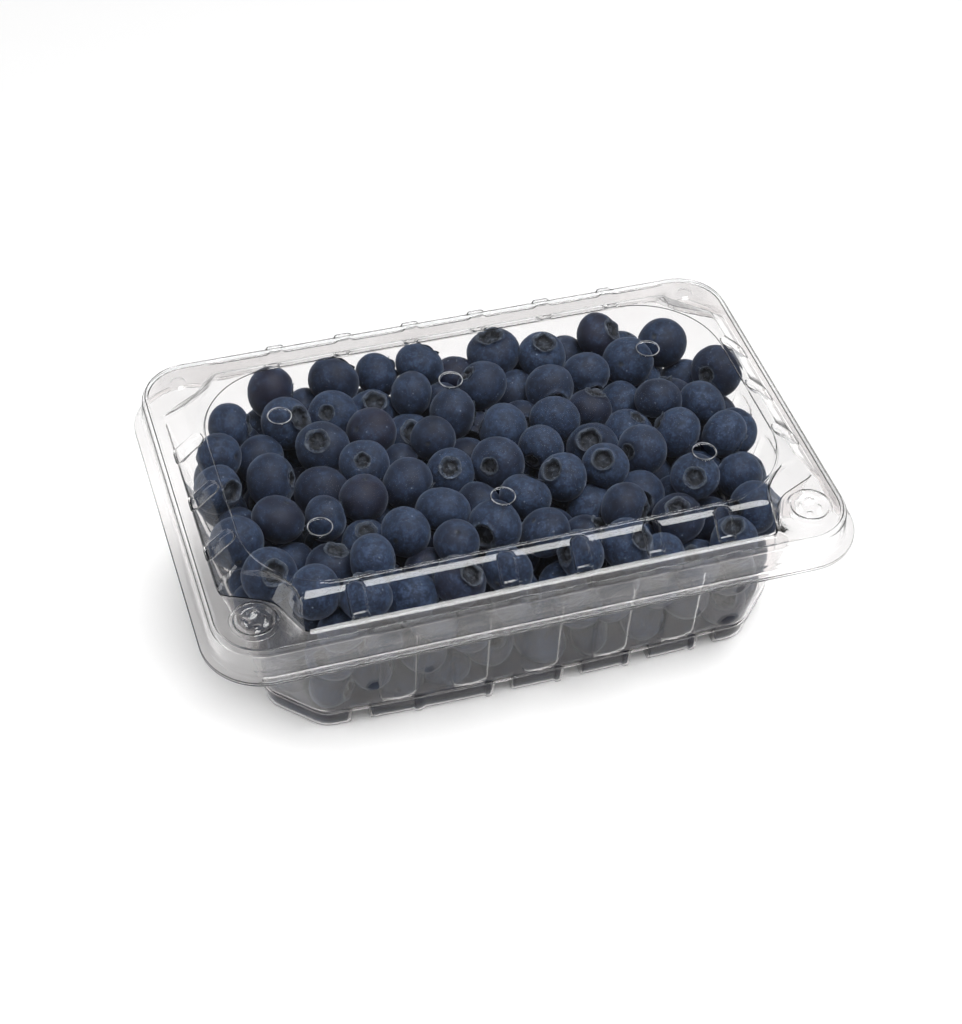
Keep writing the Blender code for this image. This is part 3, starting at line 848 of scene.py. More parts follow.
@dataclass(frozen=True)
class Lid:
    """The fluted lid: lip, skirt, flange with buttons, dome with flutes, and a vented panel.

    Attributes:
        rim: The outline that it shares with the tub.
        base: Height of the lip's underside.
        wall: Thickness of the sheet.
        rim_rows: Outside of the rim: inset, rear inset, rise, drop in the rear groove, inset in a notch.
        half_x: Half of the dome's length at its foot.
        half_y: Half of its width there.
        dome: Outside of the dome: inset and rise.
        floor: The bottom of a flute over the same run: inset and rise.
        flute: Half width of a flute at its mouth.
        flute_ramp: Width of a flute's side.
        flute_top: How far below the panel's edge a flute ends, along the dome.
        front_flutes: Places of the front flutes, in pitches.
        rear_flutes: Places of the rear flutes, in pitches.
        end_pitch: Spacing of the flutes at the ends.
        end_shift: How far those are to the rear.
        panel_corner: Radius of the panel's corners.
        front_scoop: The hollow round a button.
        rear_scoop: The hollow round a rear nub.
        button: Radius of a button's outer ring.
        nub: Radius of a rear nub.
        vents: Places of the rear vents; the front ones mirror them.
        vent: Radius of a vent hole.
    """

    rim: Rim = Rim()
    base: float = 0.0420
    wall: float = 0.00035
    rim_rows: tuple[tuple[float, ...], ...] = (
        (0.0000, 0.0000, 0.0004, 0.0, 0.0),
        (0.0005, 0.0001, 0.0005, 0.0, 0.0),
        (0.0020, 0.0002, 0.0005, 0.0, 0.0),
        (0.0026, 0.0003, 0.0019, 0.0, 0.0),
        (0.0031, 0.0004, 0.0071, 0.0, 0.0),
        (0.0036, 0.0005, 0.0074, 0.0, 0.0),
        (0.0041, 0.0007, 0.0085, 0.0, -0.0005),
        (0.0044, 0.0014, 0.0085, 0.0, -0.0005),
        (0.0045, 0.0019, 0.0085, 0.0008, -0.0005),
        (0.0046, 0.0025, 0.0085, 0.0008, -0.0005),
        (0.0047, 0.0030, 0.0085, 0.0, -0.0005),
        (0.0048, 0.0036, 0.0085, 0.0, -0.0005),
    )
    half_x: float = 0.0851
    half_y: float = 0.0510
    dome: tuple[tuple[float, float], ...] = (
        (-0.0012, 0.0085),
        (-0.0009, 0.0085),
        (0.0004, 0.0091),
        (0.0060, 0.0143),
        (0.0075, 0.0150),
        (0.0089, 0.0151),
        (0.0092, 0.0155),
        (0.0097, 0.0155),
    )
    floor: tuple[tuple[float, float], ...] = ((0.0004, 0.0091), (0.0025, 0.0091), (0.0052, 0.0124), (0.0089, 0.0151))
    flute: float = 0.0026
    flute_ramp: float = 0.0008
    flute_top: float = 0.0004
    front_flutes: tuple[float, ...] = (-2.5, -0.5, 0.5, 1.5, 2.5)
    rear_flutes: tuple[float, ...] = (-2.5, -1.5, -0.5, 0.5, 1.5, 2.5)
    end_pitch: float = 0.0189
    end_shift: float = 0.0007
    end_flutes: tuple[float, ...] = (-1.0, 0.0, 1.0)
    panel_corner: float = 0.0233
    front_scoop: Scoop = Scoop((0.0777, 0.0438), 0.0075, 0.0656, 0.0320)
    rear_scoop: Scoop = Scoop((0.0775, 0.0498), 0.0068, 0.0675, 0.0370)
    button: float = 0.0068
    nub: float = 0.0028
    vents: tuple[tuple[float, float], ...] = ((-0.0545, 0.0221), (-0.0044, 0.0240), (0.0545, 0.0221))
    vent: float = 0.0032

    def build(self, material: bpy.types.Material) -> bpy.types.Object:
        """Builds the lid's sheet.

        Args:
            material: Its finish.

        Returns:
            The piece.
        """
        shape = bmesh.new()
        rim_loops = loft(shape, self._rim_rings())
        dome_loops = loft(shape, self._dome_rings())
        fill_between(shape, [rim_loops[-1], dome_loops[0], *self._flange_marks(shape)])
        fill_between(shape, [dome_loops[-1], *self._vent_loops(shape)])
        turned_outwards(shape, self.base + 0.0155)
        piece = finished_piece("lid_shell", shape, material, "cover")
        add_wall(piece, self.wall)
        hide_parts("lid")
        return piece

    def _rim_rings(self) -> list[np.ndarray]:
        """Outlines from the lip's edge up over the skirt and in to the flange."""
        rows = np.array(self.rim_rows)
        rows[:, 2] += self.base
        reach = [0.0002, 0.0004, 0.0004, 0.0004, 0.0003, 0.0004, 0.0003, 0.0003, 0.0003, 0.0003]
        stations = self.rim.stations()
        return [self.rim.ring(stations, row) for row in eased_line(rows, reach, 3)]

    def _stations(self) -> Stations:
        """Where the dome's points stand, closer together at the flutes."""
        width = self.flute + 0.0003

        def edges(places: tuple[float, ...], pitch: float, shift: float) -> list[tuple[float, float]]:
            """Each flute's place and reach."""
            return [(place * pitch + shift, width) for place in places]

        return Stations(
            Stations.along(SIDE_X, 0.0040, edges(self.front_flutes, self.rim.pitch, 0.0), 0.00029),
            Stations.along(SIDE_X, 0.0040, edges(self.rear_flutes, self.rim.pitch, 0.0), 0.00036),
            Stations.along(SIDE_Y, 0.0040, edges(self.end_flutes, self.end_pitch, self.end_shift), 0.00033),
            40,
        )

    def _quarters(self, inset: float) -> tuple[Quarter, Quarter, float]:
        """The quarters that the dome's corners follow at an inset, and how far they have turned round."""
        half_x, half_y = self.half_x - inset, self.half_y - inset
        front = Quarter(half_x, half_y, Corner.SCOOPED, inset, self.front_scoop)
        rear = Quarter(half_x, half_y, Corner.SCOOPED, inset, self.rear_scoop)
        return front, rear, float(smooth_step(np.array((inset - 0.0060) / 0.0028)))

    def _plan(self, stations: Stations, inset: float) -> np.ndarray:
        """The dome's outline in plan at an inset, scooped below and plain at the panel."""
        front, rear, part = self._quarters(inset)
        plan = stations.plan(front, rear)
        if part > 0.0:
            radius = self.panel_corner + 0.0094 - inset
            plain = Quarter(self.half_x - inset, self.half_y - inset, Corner.ROUND, radius)
            plan = plan * (1.0 - part) + stations.plan(plain, plain) * part
        return plan

    def _dome_rings(self) -> list[np.ndarray]:
        """Outlines from the flange up to the panel, with the flutes let in."""
        stations = self._stations()
        reach = [0.0002, 0.0003, 0.0004, 0.0004, 0.0002, 0.00015]
        rows = split_line(eased_line(np.array(self.dome), reach[:6], 4), 0.00045, (0, 1))
        along = np.concatenate(([0.0], np.cumsum(np.linalg.norm(np.diff(rows, axis=0), axis=1))))
        start = along[np.argmin(np.abs(rows[:, 0] - self.floor[0][0]))] + 0.0002
        end = along[np.argmin(np.abs(rows[:, 0] - 0.0089))] - self.flute_top
        floor = spaced(eased_line(np.array(self.floor), [0.0003, 0.0016], 6), 90)
        run = np.linspace(0.0, 1.0, len(floor))
        rings = []
        for (inset, rise), length in zip(rows, along):
            outer = np.column_stack([self._plan(stations, inset), np.full(self._count(stations), self.base + rise)])
            part = (length - start) / (end - start)
            if 0.0 < part < 1.0:
                deep = [np.interp(part, run, floor[:, i]) for i in (0, 1)]
                share = self._flute_share(stations, outer, length, end)
                inner = np.column_stack([self._plan(stations, deep[0]), np.full(len(outer), self.base + deep[1])])
                outer = outer * (1.0 - share[:, None]) + inner * share[:, None]
            rings.append(outer)
        return rings

    @staticmethod
    def _count(stations: Stations) -> int:
        """How many points an outline has."""
        return stations.spans()["near_left"].stop

    def _flute_share(
        self, stations: Stations, outer: np.ndarray, length: float, end: float
    ) -> np.ndarray:
        """How far each point of an outline lies down in a flute, from 0 to 1.

        Args:
            stations: Where the points stand.
            outer: The outline without flutes.
            length: The outline's place along the dome.
            end: Where their round tops end.

        Returns:
            One share for each point.
        """
        share = np.zeros(len(outer))
        spans = stations.spans()
        sides = (
            ("front", 0, self.front_flutes, self.rim.pitch, 0.0),
            ("rear", 0, self.rear_flutes, self.rim.pitch, 0.0),
            ("right", 1, self.end_flutes, self.end_pitch, self.end_shift),
            ("left", 1, self.end_flutes, self.end_pitch, self.end_shift),
        )
        for name, axis, places, pitch, shift in sides:
            along = outer[spans[name], axis]
            away = np.full(len(along), 1.0)
            for place in places:
                away = np.minimum(away, np.abs(along - place * pitch - shift))
            over = max(0.0, length - (end - self.flute))
            distance = np.hypot(away, over)
            side = smooth_step((self.flute - distance) / self.flute_ramp)
            share[spans[name]] = side
        return share

    def _flange_marks(self, shape: bmesh.types.BMesh) -> list[list[bmesh.types.BMVert]]:
        """Adds the snap buttons and the rear nubs.

        Args:
            shape: The lid's mesh.

        Returns:
            The outer loop of each, for the flange to be filled up to.
        """
        level = self.base + 0.0085
        loops = []
        for side in (-1, 1):
            radius = self.button
            rows = [(1.00, 0), (0.985, 0), (0.95, 0.35), (0.90, 0.95), (0.84, 1.15), (0.78, 1.05), (0.74, 0.6)]
            rows += [(0.70, 0.22), (0.64, 0.10), (0.56, 0.12), (0.50, 0.30), (0.44, 0.52), (0.38, 0.60)]
            rows += [(0.31, 0.52), (0.24, 0.32), (0.16, 0.16), (0.08, 0.10)]
            centre = (side * self.front_scoop.at[0], -self.front_scoop.at[1])
            rings = turned_rings(centre, [(radius * r, level + z * 0.001) for r, z in rows], 60)
            turns = np.arange(60) * 2 * math.pi / 60
            for ring, (share, _) in zip(rings, rows):
                star = math.exp(-(((share - 0.42) / 0.16) ** 2))
                ring[:, 2] += 0.00034 * star * np.cos(4 * turns + side * 0.7 + 2.2 * share)
            made = loft(shape, rings)
            shape.faces.new(made[-1])
            loops.append(made[0])
            rows = [(1.0, 0), (0.96, 0), (0.86, 0.25), (0.70, 0.55), (0.45, 0.62), (0.15, 0.62)]
            centre = (side * self.rear_scoop.at[0], self.rear_scoop.at[1])
            made = loft(shape, turned_rings(centre, [(self.nub * r, level + z * 0.001) for r, z in rows], 32))
            shape.faces.new(made[-1])
            loops.append(made[0])
        return loops

    def vent_rims(self, material: bpy.types.Material) -> bpy.types.Object:
        """Builds the milky punched edges of the vents, whose pale rings also paint the highlight along each vent's rim.

        Args:
            material: Their finish.

        Returns:
            The piece.
        """
        shape = bmesh.new()
        level = self.base + 0.0155
        turns = [math.tau * i / 8 for i in range(8)]
        rows = [(self.vent + 0.00010 + 0.00015 * math.cos(a), level + 0.00012 * math.sin(a)) for a in turns]
        for x, y in self.vents:
            for side in (-1, 1):
                loops = loft(shape, turned_rings((x, side * y), rows, 36))
                bmesh.ops.bridge_loops(shape, edges=ring_of_edges(loops[-1]) + ring_of_edges(loops[0]))
        turned_outwards(shape)
        piece = finished_piece("vent_rims", shape, material, "cover")
        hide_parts("lid")
        return piece

    def _vent_loops(self, shape: bmesh.types.BMesh) -> list[list[bmesh.types.BMVert]]:
        """Adds the raised rims of the vents.

        Args:
            shape: The lid's mesh.

        Returns:
            The outer loop of each, for the panel to be filled up to.
        """
        level = self.base + 0.0155
        rows = [(0.0022, 0), (0.0013, 0), (0.0009, -0.08), (0.0004, -0.02), (0.0001, -0.05), (0, -0.20), (0, -0.55)]
        loops = []
        for x, y in self.vents:
            for side in (-1, 1):
                rings = turned_rings((x, side * y), [(self.vent + r, level + z * 0.001) for r, z in rows], 40)
                loops.append(loft(shape, rings)[0])
        return loops


@dataclass(frozen=True)
class Tub:
    """The tub: lip and skirt under the lid's, a wall with pillows, a step, and feet with channels between.

    Attributes:
        rim: The outline that it shares with the lid.
        base: Height of the lid's lip.
        wall: Thickness of the sheet.
        rim_rows: Outside of the rim, as for the lid.
        mouth_x: Half of the mouth's length.
        mouth_y: Half of its width.
        mouth_z: Height of the mouth.
        step_x: Half of the length at the step above the feet.
        step_y: Half of the width there.
        step_z: Height of the step.
        shift: How far the lower tub sits to the right.
        chamfer: Size of the lower tub's corner cuts.
        bow: How far the long sides bow out at the step.
        pillows: Places of the pillows along the long sides, in pitches.
        end_pillows: Places of those at the ends, in end pitches.
        pillow: Half width of a pillow.
        proud: How far a pillow stands out.
        channels: Places of the channels under the tub, in pitches.
        channel: Half width of a channel.
        channel_z: Its height.
        pad: How far a foot pad stands out.
    """

    rim: Rim = Rim()
    lid: Lid = Lid()
    base: float = 0.0420
    wall: float = 0.00035
    rim_rows: tuple[tuple[float, ...], ...] = (
        (0.0000, 0.0000, -0.0004, 0.0, 0.0),
        (0.0005, 0.0001, -0.0003, 0.0, 0.0),
        (0.0028, 0.0008, -0.0003, 0.0, 0.0),
        (0.0034, 0.0010, 0.0010, 0.0, 0.0),
        (0.0039, 0.0012, 0.0064, 0.0, 0.0),
        (0.0049, 0.0016, 0.0077, 0.0, 0.0),
        (0.0053, 0.0022, 0.0077, 0.0, 0.0),
    )
    mouth_x: float = 0.0842
    mouth_y: float = 0.0501
    mouth_z: float = 0.0497
    step_x: float = 0.0745
    step_y: float = 0.0438
    step_z: float = 0.0063
    shift: float = 0.0019
    chamfer: float = 0.0130
    bow: float = 0.0012
    pillows: tuple[float, ...] = (-2.0, -1.0, 0.0, 1.0, 2.0)
    end_pillows: tuple[float, ...] = (-0.5, 0.5)
    pillow: float = 0.0054
    proud: float = 0.0011
    channels: tuple[float, ...] = (-2.5, -0.5, 0.5, 1.5, 2.5)
    channel: float = 0.0026
    channel_z: float = 0.0055
    pad: float = 0.0007

    def build(self, material: bpy.types.Material) -> bpy.types.Object:
        """Builds the tub's sheet.

        Args:
            material: Its finish.

        Returns:
            The piece.
        """
        shape = bmesh.new()
        rim_loops = loft(shape, self._rim_rings())
        stations = self._stations()
        rings = self._wall_rings(stations) + self._foot_rings(stations)
        wall_loops = loft(shape, rings)
        fill_between(shape, [rim_loops[-1], wall_loops[0]])
        self._close_bottom(shape, stations, wall_loops[-1])
        turned_outwards(shape, self.mouth_z)
        piece = finished_piece("tub_shell", shape, material, "base")
        add_wall(piece, self.wall)
        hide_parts("tub")
        return piece

    def _rim_rings(self) -> list[np.ndarray]:
        """Outlines from the lip's edge up inside the lid's skirt and in to the tub's flange."""
        rows = np.array(self.rim_rows)
        rows[:, 2] += self.base
        stations = self.rim.stations()
        reach = [0.0002, 0.0005, 0.0005, 0.0006, 0.0003]
        return [self.rim.ring(stations, row) for row in eased_line(rows, reach, 3)]

    def _stations(self) -> Stations:
        """Where the wall's points stand, the same at the front and the rear so that the floor can join them."""
        edges = [(place * self.rim.pitch + side * self.pillow, 0.0013) for place in self.pillows for side in (-1, 1)]
        edges += [(place * self.rim.pitch + side * self.channel, 0.0002) for place in self.channels for side in (-1, 1)]
        long_side = Stations.along(SIDE_X, 0.0022, edges, 0.00040)
        ends = [
            (place * self.lid.end_pitch + self.lid.end_shift + side * self.pillow, 0.0013)
            for place in self.end_pillows
            for side in (-1, 1)
        ]
        return Stations(long_side, long_side, Stations.along(SIDE_Y, 0.0022, ends, 0.00045), 34)

    def _plan(self, stations: Stations, part: float, extra: float) -> np.ndarray:
        """The wall's outline in plan.

        Args:
            stations: Where its points stand.
            part: 0 at the mouth and 1 at the step.
            extra: How far inside the wall's inner face it runs.

        Returns:
            The outline.
        """
        extra += self.wall
        half_x = self.mouth_x + (self.step_x - self.mouth_x) * part - extra
        half_y = self.mouth_y + (self.step_y - self.mouth_y) * part - extra
        size = self.chamfer - 0.6 * extra
        cut = Quarter(half_x, half_y, Corner.CHAMFERED, size)
        fade = float(smooth_step(np.array(part / 0.55)))
        inset = 0.0009 + extra
        front = Quarter(half_x, half_y, Corner.SCOOPED, inset, self.lid.front_scoop)
        rear = Quarter(half_x, half_y, Corner.SCOOPED, inset, self.lid.rear_scoop)
        plan = stations.plan(front, rear) * (1.0 - fade) + stations.plan(cut, cut) * fade
        bow = self.bow * part * np.clip(1.0 - (plan[:, 0] / SIDE_X) ** 2, 0.0, 1.0)
        plan[:, 1] += np.sign(plan[:, 1]) * bow * (np.abs(plan[:, 1]) > SIDE_Y)
        plan[:, 0] += self.shift * part
        return plan

    def _wall_rings(self, stations: Stations) -> list[np.ndarray]:
        """Outlines from the mouth down to the step, with the pillows standing out."""
        mouth = [(0.0, self.mouth_z, -0.0006), (0.0, self.mouth_z, -0.0003), (0.012, self.mouth_z - 0.0006, 0.0)]
        low = self.step_z + 0.0011
        rows = [np.array(row) for row in mouth]
        heights = np.linspace(self.mouth_z - 0.0012, low, 46)
        rows += [np.array(((self.mouth_z - z) / (self.mouth_z - self.step_z), z, 0.0)) for z in heights]
        rings = []
        spans = stations.spans()
        for part, height, extra in rows:
            plan = self._plan(stations, float(part), float(extra))
            ring = np.column_stack([plan, np.full(len(plan), height)])
            for name, axis, places, pitch, shift in (
                ("front", 1, self.pillows, self.rim.pitch, self.shift * part),
                ("rear", 1, self.pillows, self.rim.pitch, self.shift * part),
                ("right", 0, self.end_pillows, self.lid.end_pitch, self.lid.end_shift),
                ("left", 0, self.end_pillows, self.lid.end_pitch, self.lid.end_shift),
            ):
                span = spans[name]
                along = ring[span, 1 - axis]
                middle = np.array([place * pitch + shift for place in places])
                away = np.min(np.abs(along[:, None] - middle[None, :]), axis=1)
                out = self.proud * self._pillow_share(away, float(height))
                ring[span, axis] += np.sign(ring[span, axis]) * out
            rings.append(ring)
        return rings

    def _pillow_share(self, away: np.ndarray, height: float) -> np.ndarray:
        """How far out a pillow stands: a panel with round corners and a narrow ramp all round.

        Args:
            away: Distance from the pillow's middle line.
            height: Height above the floor.

        Returns:
            Shares from 0 to 1.
        """
        low, high, corner = self.step_z + 0.0016, self.mouth_z - 0.0090, 0.0034
        half = (high - low) / 2
        dx = away - (self.pillow - corner)
        dz = abs(height - (low + high) / 2) - (half - corner)
        outside = np.hypot(np.maximum(dx, 0.0), max(dz, 0.0)) + np.minimum(np.maximum(dx, dz), 0.0) - corner
        return smooth_step(-outside / 0.0009)

    def _foot_rings(self, stations: Stations) -> list[np.ndarray]:
        """Outlines from the step's ledge down the feet, which stop above the channels."""
        rows = [(0.0000, 0.0009), (-0.0004, 0.0006), (-0.0006, 0.0002), (-0.0004, -0.0002), (0.0003, -0.0004)]
        rings = []
        for inset, rise in rows:
            plan = self._plan(stations, 1.0, inset)
            rings.append(np.column_stack([plan, np.full(len(plan), self.step_z + rise)]))
        for inset, height in ((0.0003, 0.0054), (0.0003, 0.0048), (0.0004, 0.0024), (0.0005, 0.0007), (0.0010, self.wall)):
            plan = self._plan(stations, 1.0, inset)
            ring = np.column_stack([plan, np.full(len(plan), height)])
            spans = stations.spans()
            for name in ("front", "rear"):
                span = spans[name]
                along = ring[span, 0] - self.shift
                if height < 0.0052:
                    ring[span, 1] += np.sign(ring[span, 1]) * self.pad * self._pad_share(along)
                inside = self._channel_share(along)
                ring[span, 2] = np.maximum(ring[span, 2], inside * min(self.channel_z, 0.0054))
            rings.append(ring)
        return rings

    def shade_lining(self, shape: bmesh.types.BMesh, gap: float, top: float) -> None:
        """Adds a solid that fills the feet and bridges the channels: a dark sheet just inside the foot band, painted
        shade for the shadowed ground under the tub, which also stands for the lowest fruit.

        Args:
            shape: The mesh to add it to.
            gap: Its clearance from the sheet.
            top: Its height.
        """
        stations = self._stations()
        rings = []
        for height in (self.wall + gap, top):
            plan = self._plan(stations, 1.0, 0.0005 + gap)
            ring = np.column_stack([plan, np.full(len(plan), height)])
            spans = stations.spans()
            for name in ("front", "rear"):
                span = spans[name]
                along = ring[span, 0] - self.shift
                if height < self.channel_z:
                    ring[span, 1] += np.sign(ring[span, 1]) * self.pad * self._pad_share(along)
                inside = self._channel_share(along, self.wall + gap)
                ring[span, 2] = np.maximum(ring[span, 2], inside * (self.channel_z + self.wall + gap))
            rings.append(ring)
        loops = loft(shape, rings)
        self._close_bottom(shape, stations, loops[0])
        bmesh.ops.triangle_fill(shape, edges=ring_of_edges(loops[-1]), use_beauty=True)

    def _pad_share(self, along: np.ndarray) -> np.ndarray:
        """How far out the foot pads stand along a long side."""
        share = np.zeros(len(along))
        for place in self.pillows:
            low = place * self.rim.pitch + 0.0050
            high = (place + 0.5) * self.rim.pitch - self.channel - 0.0004
            share = np.maximum(share, smooth_step((along - low) / 0.0005) * smooth_step((high - along) / 0.0005))
        return share

    def _channel_share(self, along: np.ndarray, margin: float = 0.0) -> np.ndarray:
        """1 inside the channels and up to a margin beside them, and 0 elsewhere."""
        away = np.full(len(along), 1.0)
        for place in self.channels:
            away = np.minimum(away, np.abs(along - place * self.rim.pitch))
        return (away < self.channel + margin + 1e-6).astype(float)

    def _close_bottom(self, shape: bmesh.types.BMesh, stations: Stations, loop: list[bmesh.types.BMVert]) -> None:
        """Joins the front and rear of the lowest outline across the floor and over the channels.

        Args:
            shape: The tub's mesh.
            stations: Where the outline's points stand.
            loop: The lowest outline.
        """
        spans = stations.spans()
        front = loop[spans["front"]]
        rear = list(reversed(loop[spans["rear"]]))
        edges = [edge for side in (front, rear) for edge in ring_of_edges(side + side[-2:0:-1])[: len(side) - 1]]
        bmesh.ops.bridge_loops(shape, edges=edges)
        right = loop[spans["front"].stop - 1 : spans["rear"].start + 1]
        left = loop[spans["rear"].stop - 1 :] + [loop[0]]
        shape.faces.new(right)
        shape.faces.new(left)


@dataclass(frozen=True)
class HingeFold:
    """The moulded fold between the two rear lips.

    Attributes:
        half_length: Half of its length.
        at: Its place, as y and z.
        radius: Its radius.
    """

    half_length: float = 0.0640
    at: tuple[float, float] = (0.0588, 0.04185)
    radius: float = 0.00042

    def build(self, material: bpy.types.Material) -> bpy.types.Object:
        """Builds the fold as a thin round bar with eased ends.

        Args:
            material: Its finish.

        Returns:
            The piece.
        """
        shape = bmesh.new()
        long_way = Matrix.Rotation(math.pi / 2, 4, "Y")
        bmesh.ops.create_cone(
            shape,
            cap_ends=True,
            segments=14,
            radius1=self.radius,
            radius2=self.radius,
            depth=2 * self.half_length,
            matrix=Matrix.Translation((0.0, *self.at)) @ long_way,
        )
        ends = [edge for edge in shape.edges if abs(edge.verts[0].co.x - edge.verts[1].co.x) < 1e-6]
        bmesh.ops.bevel(
            shape, geom=ends, offset=self.radius * 0.5, segments=2, profile=0.5, affect="EDGES", material=-1
        )
        turned_outwards(shape)
        piece = finished_piece("hinge_fold", shape, material, "base")
        return piece


# ---------------------------------------------------------------------------------------------------------------
# The fruit
# ---------------------------------------------------------------------------------------------------------------


class Crown(Enum):
    """The kinds of crown that the berries have, with the name of the piece that holds them."""

    OPEN = "berries_open_crown"
    STAR = "berries_star_crown"
    WORN = "berries_worn_crown"


@dataclass(frozen=True)
class BerryForm:
    """The shape of a berry of one kind, for a radius of 1 and its crown upwards.

    Attributes:
        crown: The kind.
        width: Radius of the crown.
        height: How far its lobes stand up.
        spread: How far they lean out.
        depth: How deep the disc inside lies.
        segments: Points round the berry.
    """

    crown: Crown
    width: float
    height: float
    spread: float
    depth: float
    segments: int = 35

    def profile(self) -> tuple[list[tuple[float, float]], list[tuple[float, float, float]]]:
        """The berry's half section from its stem scar up to the middle of its crown.

        Returns:
            Its points as radius and height, and for each the share of crown colour, rim colour and lobes.
        """
        squat = 0.86
        points = [(0.0, -0.800), (0.045, -0.805), (0.085, -0.835), (0.125, -0.850)]
        marks = [(1.0, 0.35, 0.0), (1.0, 0.25, 0.0), (0.8, 0.10, 0.0), (0.2, 0.0, 0.0)]
        for i in range(14):
            turn = math.radians(-80.0 + 144.0 * i / 13)
            points.append((math.cos(turn) ** 0.94, squat * math.sin(turn)))
            marks.append((0.0, 0.0, 0.0))
        w, top = self.width, 0.775
        rows = [
            (w + 0.070, top - 0.016, 0.0, 0.0, 0.0),
            (w + 0.020, top + 0.010, 0.10, 0.0, 0.10),
            (w + 0.012, top + 0.35 * self.height, 0.20, 0.20, 0.60),
            (w + 0.022 + 0.6 * self.spread, top + 0.80 * self.height, 0.15, 0.60, 1.0),
            (w + 0.020 + self.spread, top + self.height, 0.10, 0.95, 1.0),
            (w - 0.010 + self.spread, top + 0.96 * self.height, 0.25, 0.80, 1.0),
            (w - 0.030 + 0.4 * self.spread, top + 0.45 * self.height, 0.70, 0.30, 0.8),
            (w - 0.050, top - 0.30 * self.depth, 0.95, 0.0, 0.2),
            (w - 0.070, top - 0.85 * self.depth, 1.0, 0.0, 0.0),
            (w - 0.110, top - self.depth, 1.0, 0.0, 0.0),
            (0.50 * w, top - 0.98 * self.depth, 0.90, 0.10, 0.0),
            (0.24 * w, top - 0.92 * self.depth, 0.90, 0.25, 0.0),
            (0.12 * w, top - 0.70 * self.depth, 0.75, 0.50, 0.0),
            (0.0, top - 0.66 * self.depth, 0.75, 0.50, 0.0),
        ]
        last = points[-1]
        first = rows[0]
        points.append(((last[0] + first[0]) / 2, (last[1] + first[1]) / 2 + 0.012))
        marks.append((0.0, 0.0, 0.0))
        points += [(r, z) for r, z, *_ in rows]
        marks += [(c, e, m) for _, _, c, e, m in rows]
        return points, marks

    def template(self) -> tuple[np.ndarray, np.ndarray, list[list[int]]]:
        """Turns the half section into a closed berry and shapes the lobes.

        Returns:
            The points, their crown and rim shares, and the faces as point numbers.
        """
        points, marks = self.profile()
        shape = bmesh.new()
        mark = shape.verts.layers.int.new("row")
        line = [shape.verts.new((r, 0.0, z)) for r, z in points]
        for i, point in enumerate(line):
            point[mark] = i
        edges = [shape.edges.new(pair) for pair in zip(line, line[1:])]
        bmesh.ops.spin(
            shape,
            geom=[*line, *edges],
            cent=(0.0, 0.0, 0.0),
            axis=(0.0, 0.0, 1.0),
            angle=2 * math.pi,
            steps=self.segments,
            use_merge=True,
        )
        bmesh.ops.remove_doubles(shape, verts=shape.verts, dist=1e-5)
        bmesh.ops.recalc_face_normals(shape, faces=shape.faces)
        shape.verts.index_update()
        places = np.array([point.co[:] for point in shape.verts])
        rows = np.array([point[mark] for point in shape.verts])
        shares = np.array(marks)[rows]
        faces = [[point.index for point in face.verts] for face in shape.faces]
        shape.free()
        self._shape_lobes(places, shares[:, 2])
        return places, shares[:, :2], faces

    def _shape_lobes(self, places: np.ndarray, share: np.ndarray) -> None:
        """Cuts the crown's raised ring into five pointed lobes.

        Args:
            places: The berry's points, changed in place.
            share: How much each belongs to the lobes.
        """
        turn = np.arctan2(places[:, 1], places[:, 0])
        away = np.abs((5.0 * turn / (2.0 * math.pi)) % 1.0 - 0.5) * 2.0
        lobe = (1.0 - away) ** 0.8
        uneven = 1.0 + 0.18 * np.sin(turn + 0.8) + 0.10 * np.sin(3 * turn)
        drop = share * (1.0 - lobe * uneven) * self.height * 0.95
        places[:, 2] -= np.clip(drop, -0.03, None)
        radius = np.hypot(places[:, 0], places[:, 1])
        grown = radius * (1.0 + share * (lobe - 0.45) * 0.10)
        scale = np.where(radius > 1e-6, grown / np.maximum(radius, 1e-6), 1.0)
        places[:, :2] *= scale[:, None]


@dataclass(frozen=True)
class Room:
    """The room that the fruit lies in, as flat bounds.

    Attributes:
        tub: The tub that holds it.
        floor: Height that the lowest berries rest at.
        top: Height under the lid's panel.
    """

    tub: Tub = Tub()
    floor: float = 0.0012
    top: float = 0.0566

    def bounds(self) -> tuple[np.ndarray, np.ndarray]:
        """The bounds as outward directions and distances from the origin.

        Returns:
            Directions, one row each, and distances.
        """
        tub = self.tub
        low, high = tub.step_z, tub.mouth_z
        rows = [((0.0, 0.0, -1.0), (0.0, 0.0, self.floor)), ((0.0, 0.0, 1.0), (0.0, 0.0, self.top))]
        lean_x = (tub.mouth_x - tub.step_x) / (high - low)
        lean_y = (tub.mouth_y - tub.step_y - tub.bow) / (high - low)
        slip = 1.0 / (high - low) * tub.shift
        for side in (-1, 1):
            x_low = tub.step_x + side * tub.shift
            rows.append(((side, 0.0, -(lean_x - side * slip)), (side * x_low, 0.0, low)))
            rows.append(((0.0, side, -lean_y), (0.0, side * (tub.step_y + tub.bow), low)))
            rows.append(((side, 0.0, 1.06), (side * 0.0847, 0.0, 0.0511)))
            rows.append(((0.0, side, 1.06), (0.0, side * 0.0506, 0.0511)))
            for way in (-1, 1):
                reach = 0.1053 if way < 0 else 0.1053
                rows.append(((side, way, -0.10), (side * (reach + side * tub.shift), 0.0, low)))
        directions = np.array([row[0] for row in rows], dtype=float)
        places = np.array([row[1] for row in rows], dtype=float)
        lengths = np.linalg.norm(directions, axis=1)
        directions /= lengths[:, None]
        return directions, np.sum(directions * places, axis=1) - tub.wall


